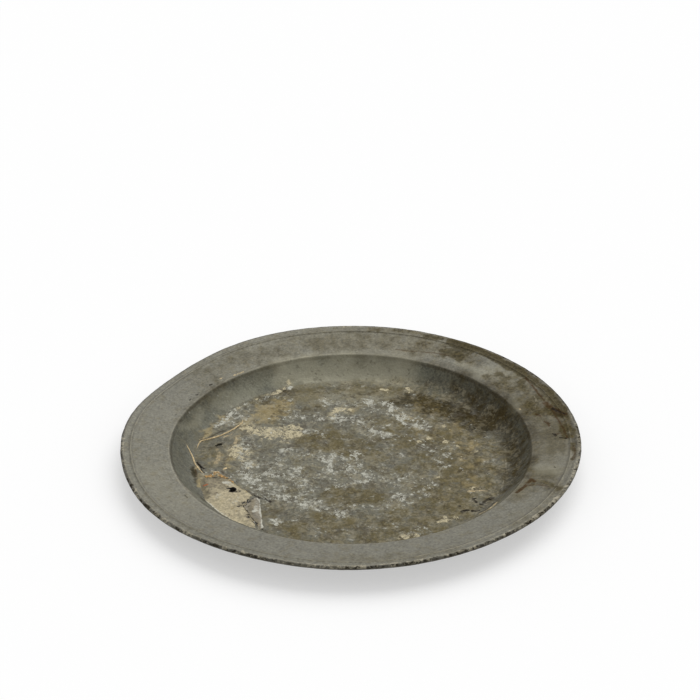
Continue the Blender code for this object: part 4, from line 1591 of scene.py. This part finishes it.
class PLATTER_OT_beads(bpy.types.Operator):
    """Build the raised beads of putty along the two cracks"""

    bl_idname = "platter.beads"
    bl_label = "Crack beads"

    def execute(self, context):
        tree = bead_tree()
        tan = putty_material("tan_putty", finish().putty_tan, 27.0)
        for name, route, node, radius, seed in (
            ("putty_bead_back", BACK_BEAD, "back_crack_bead", 0.0009, 4.0),
            ("putty_bead_side", SIDE_BEAD, "side_crack_bead", 0.0008, 6.0),
        ):
            points = []
            for x, y in route:
                ground = float(booge_height(math.hypot(x, y) * MM))
                points.append((x * MM, y * MM, ground + 0.5 * radius))
            mesh = bpy.data.meshes.new(name)
            mesh.from_pydata(points, [(index, index + 1) for index in range(len(points) - 1)], [])
            bead = put_in_scene(name, mesh)
            node_modifier(bead, tree, Radius=radius, Seed=seed, Finish=tan)
            bake_modifiers(bead)
            bead.data.shade_smooth()
            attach(bead, BODY)
            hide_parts(node)
        return {"FINISHED"}


class PLATTER_OT_flakes(bpy.types.Operator):
    """Scatter flakes of crust where it is thickest on the floor, and crumbs at the head of the fill"""

    bl_idname = "platter.flakes"
    bl_label = "Crust flakes"

    def execute(self, context):
        look, age = finish(), aging()
        tree = flake_tree()
        for name, carrier, mask, tint, share, smallest, largest, slot in (
            ("white_flakes", "platter_casting", "white_crust", look.crust_white, 1.0, 0.3, 0.8, "pale_putty"),
            ("cream_flakes", "platter_casting", "cream_crust", look.crust_cream, 1.0, 0.3, 0.8, "pale_putty"),
            ("tan_crumbs", "putty_fill", "crumbs", look.crumb_tan, 8.0, 0.5, 1.5, "tan_putty"),
        ):
            surface = bpy.data.objects.get(carrier)
            if surface is None:
                raise RuntimeError(f"The flakes lie on {carrier}, so build that first")
            flakes = put_in_scene(name, surface.data.copy())
            inputs = {
                "Mask": mask,
                "Per square metre": age.flake_density * share,
                "Smallest": smallest * MM,
                "Largest": largest * MM,
                "Flatness": 0.3 * share**0.4,
                "Finish": crust_material(name, tint, float(len(name))),
            }
            node_modifier(flakes, tree, **inputs)
            bake_modifiers(flakes)
            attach(flakes, BODY)
        return {"FINISHED"}


# The stage


def seen_directly(tree):
    """Full for rays from the camera, straight or by way of a mirror or glass, and nothing for other light."""
    path = tree.node("ShaderNodeLightPath").outputs
    return tree.most(path["Is Camera Ray"], path["Is Glossy Ray"], path["Is Transmission Ray"])


def stage_floor():
    shape = bmesh.new()
    bmesh.ops.create_circle(shape, cap_ends=True, radius=8.0, segments=64)
    mesh = bpy.data.meshes.new("stage_floor")
    shape.to_mesh(mesh)
    shape.free()
    floor = put_in_scene("stage_floor", mesh)
    floor.location.z = -0.4 * MM
    made, tree, shader, _ = start_material("stage_white")
    grey = 0.55
    # With the light that falls on it, this glow makes the floor white to the camera
    glow = 0.485
    tree.feed(shader["Base Color"], (grey, grey, grey, 1.0))
    tree.feed(shader["Roughness"], 0.9)
    tree.feed(shader["Specular IOR Level"], 0.0)
    tree.feed(shader["Emission Color"], WHITE)
    tree.feed(shader["Emission Strength"], tree.times(seen_directly(tree), glow))
    mesh.materials.append(made)
    return floor


def studio_light(scene):
    """A white world that lights at half its brightness, and a broad soft sun."""
    scene.world = bpy.data.worlds.new("studio")
    scene.world.use_nodes = True
    tree = Tree(scene.world.node_tree)
    background = tree.made.nodes["Background"].inputs
    tree.feed(background["Color"], WHITE)
    tree.feed(background["Strength"], tree.plus(0.5, tree.times(seen_directly(tree), 0.5)))
    lamp = bpy.data.lights.new("softbox", "SUN")
    lamp.energy = 1.6
    lamp.angle = math.radians(60)
    sun = put_in_scene("softbox", lamp)
    sun.rotation_euler = Vector((0.32, 0.58, 1.0)).to_track_quat("Z", "Y").to_euler()


def photo_camera(scene):
    """The photograph's camera, in front of the platter and looking down at its middle."""
    lens = bpy.data.cameras.new("photo_camera")
    lens.sensor_width = 36.0
    lens.lens = lens.sensor_width * PIXELS_PER_METRE * CAMERA_DISTANCE / PHOTO_SIDE
    lens.shift_x = (PHOTO_SIDE / 2 - MIDDLE_COLUMN) / PHOTO_SIDE
    lens.shift_y = (MIDDLE_ROW - PHOTO_SIDE / 2) / PHOTO_SIDE
    camera = put_in_scene("photo_camera", lens)
    elevation = math.radians(CAMERA_ELEVATION)
    camera.location = (0.0, -CAMERA_DISTANCE * math.cos(elevation), CAMERA_DISTANCE * math.sin(elevation))
    camera.rotation_euler = (math.pi / 2 - elevation, 0.0, 0.0)
    scene.camera = camera


class PLATTER_OT_stage(bpy.types.Operator):
    """Set the white stage, the soft studio light and the camera"""

    bl_idname = "platter.stage"
    bl_label = "Stage"

    def execute(self, context):
        context.scene.view_settings.view_transform = "Standard"
        floor = stage_floor()
        studio_light(context.scene)
        photo_camera(context.scene)
        return {"FINISHED"}


class PLATTER_PT_panel(bpy.types.Panel):
    """Lists the platter's pieces in the sidebar"""

    bl_idname = "PLATTER_PT_panel"
    bl_label = "Pewter platter"
    bl_space_type = "VIEW_3D"
    bl_region_type = "UI"
    bl_category = "Platter"

    def draw(self, context):
        for operator in OPERATORS:
            self.layout.operator(operator.bl_idname)


OPERATORS = (PLATTER_OT_stage, PLATTER_OT_casting, PLATTER_OT_fill, PLATTER_OT_beads, PLATTER_OT_flakes)
CLASSES = (PlatterSizes, PlatterAging, PlatterFinish, *OPERATORS, PLATTER_PT_panel)


def register():
    for item in CLASSES:
        bpy.utils.register_class(item)
    bpy.types.Scene.platter_sizes = PointerProperty(type=PlatterSizes)
    bpy.types.Scene.platter_aging = PointerProperty(type=PlatterAging)
    bpy.types.Scene.platter_finish = PointerProperty(type=PlatterFinish)


def unregister():
    for name in ("platter_sizes", "platter_aging", "platter_finish"):
        delattr(bpy.types.Scene, name)
    for item in reversed(CLASSES):
        bpy.utils.unregister_class(item)


def main():
    register()
    bpy.ops.platter.stage()
    bpy.ops.platter.casting()
    bpy.ops.platter.fill()
    bpy.ops.platter.beads()
    bpy.ops.platter.flakes()


if __name__ == "__main__":
    main()
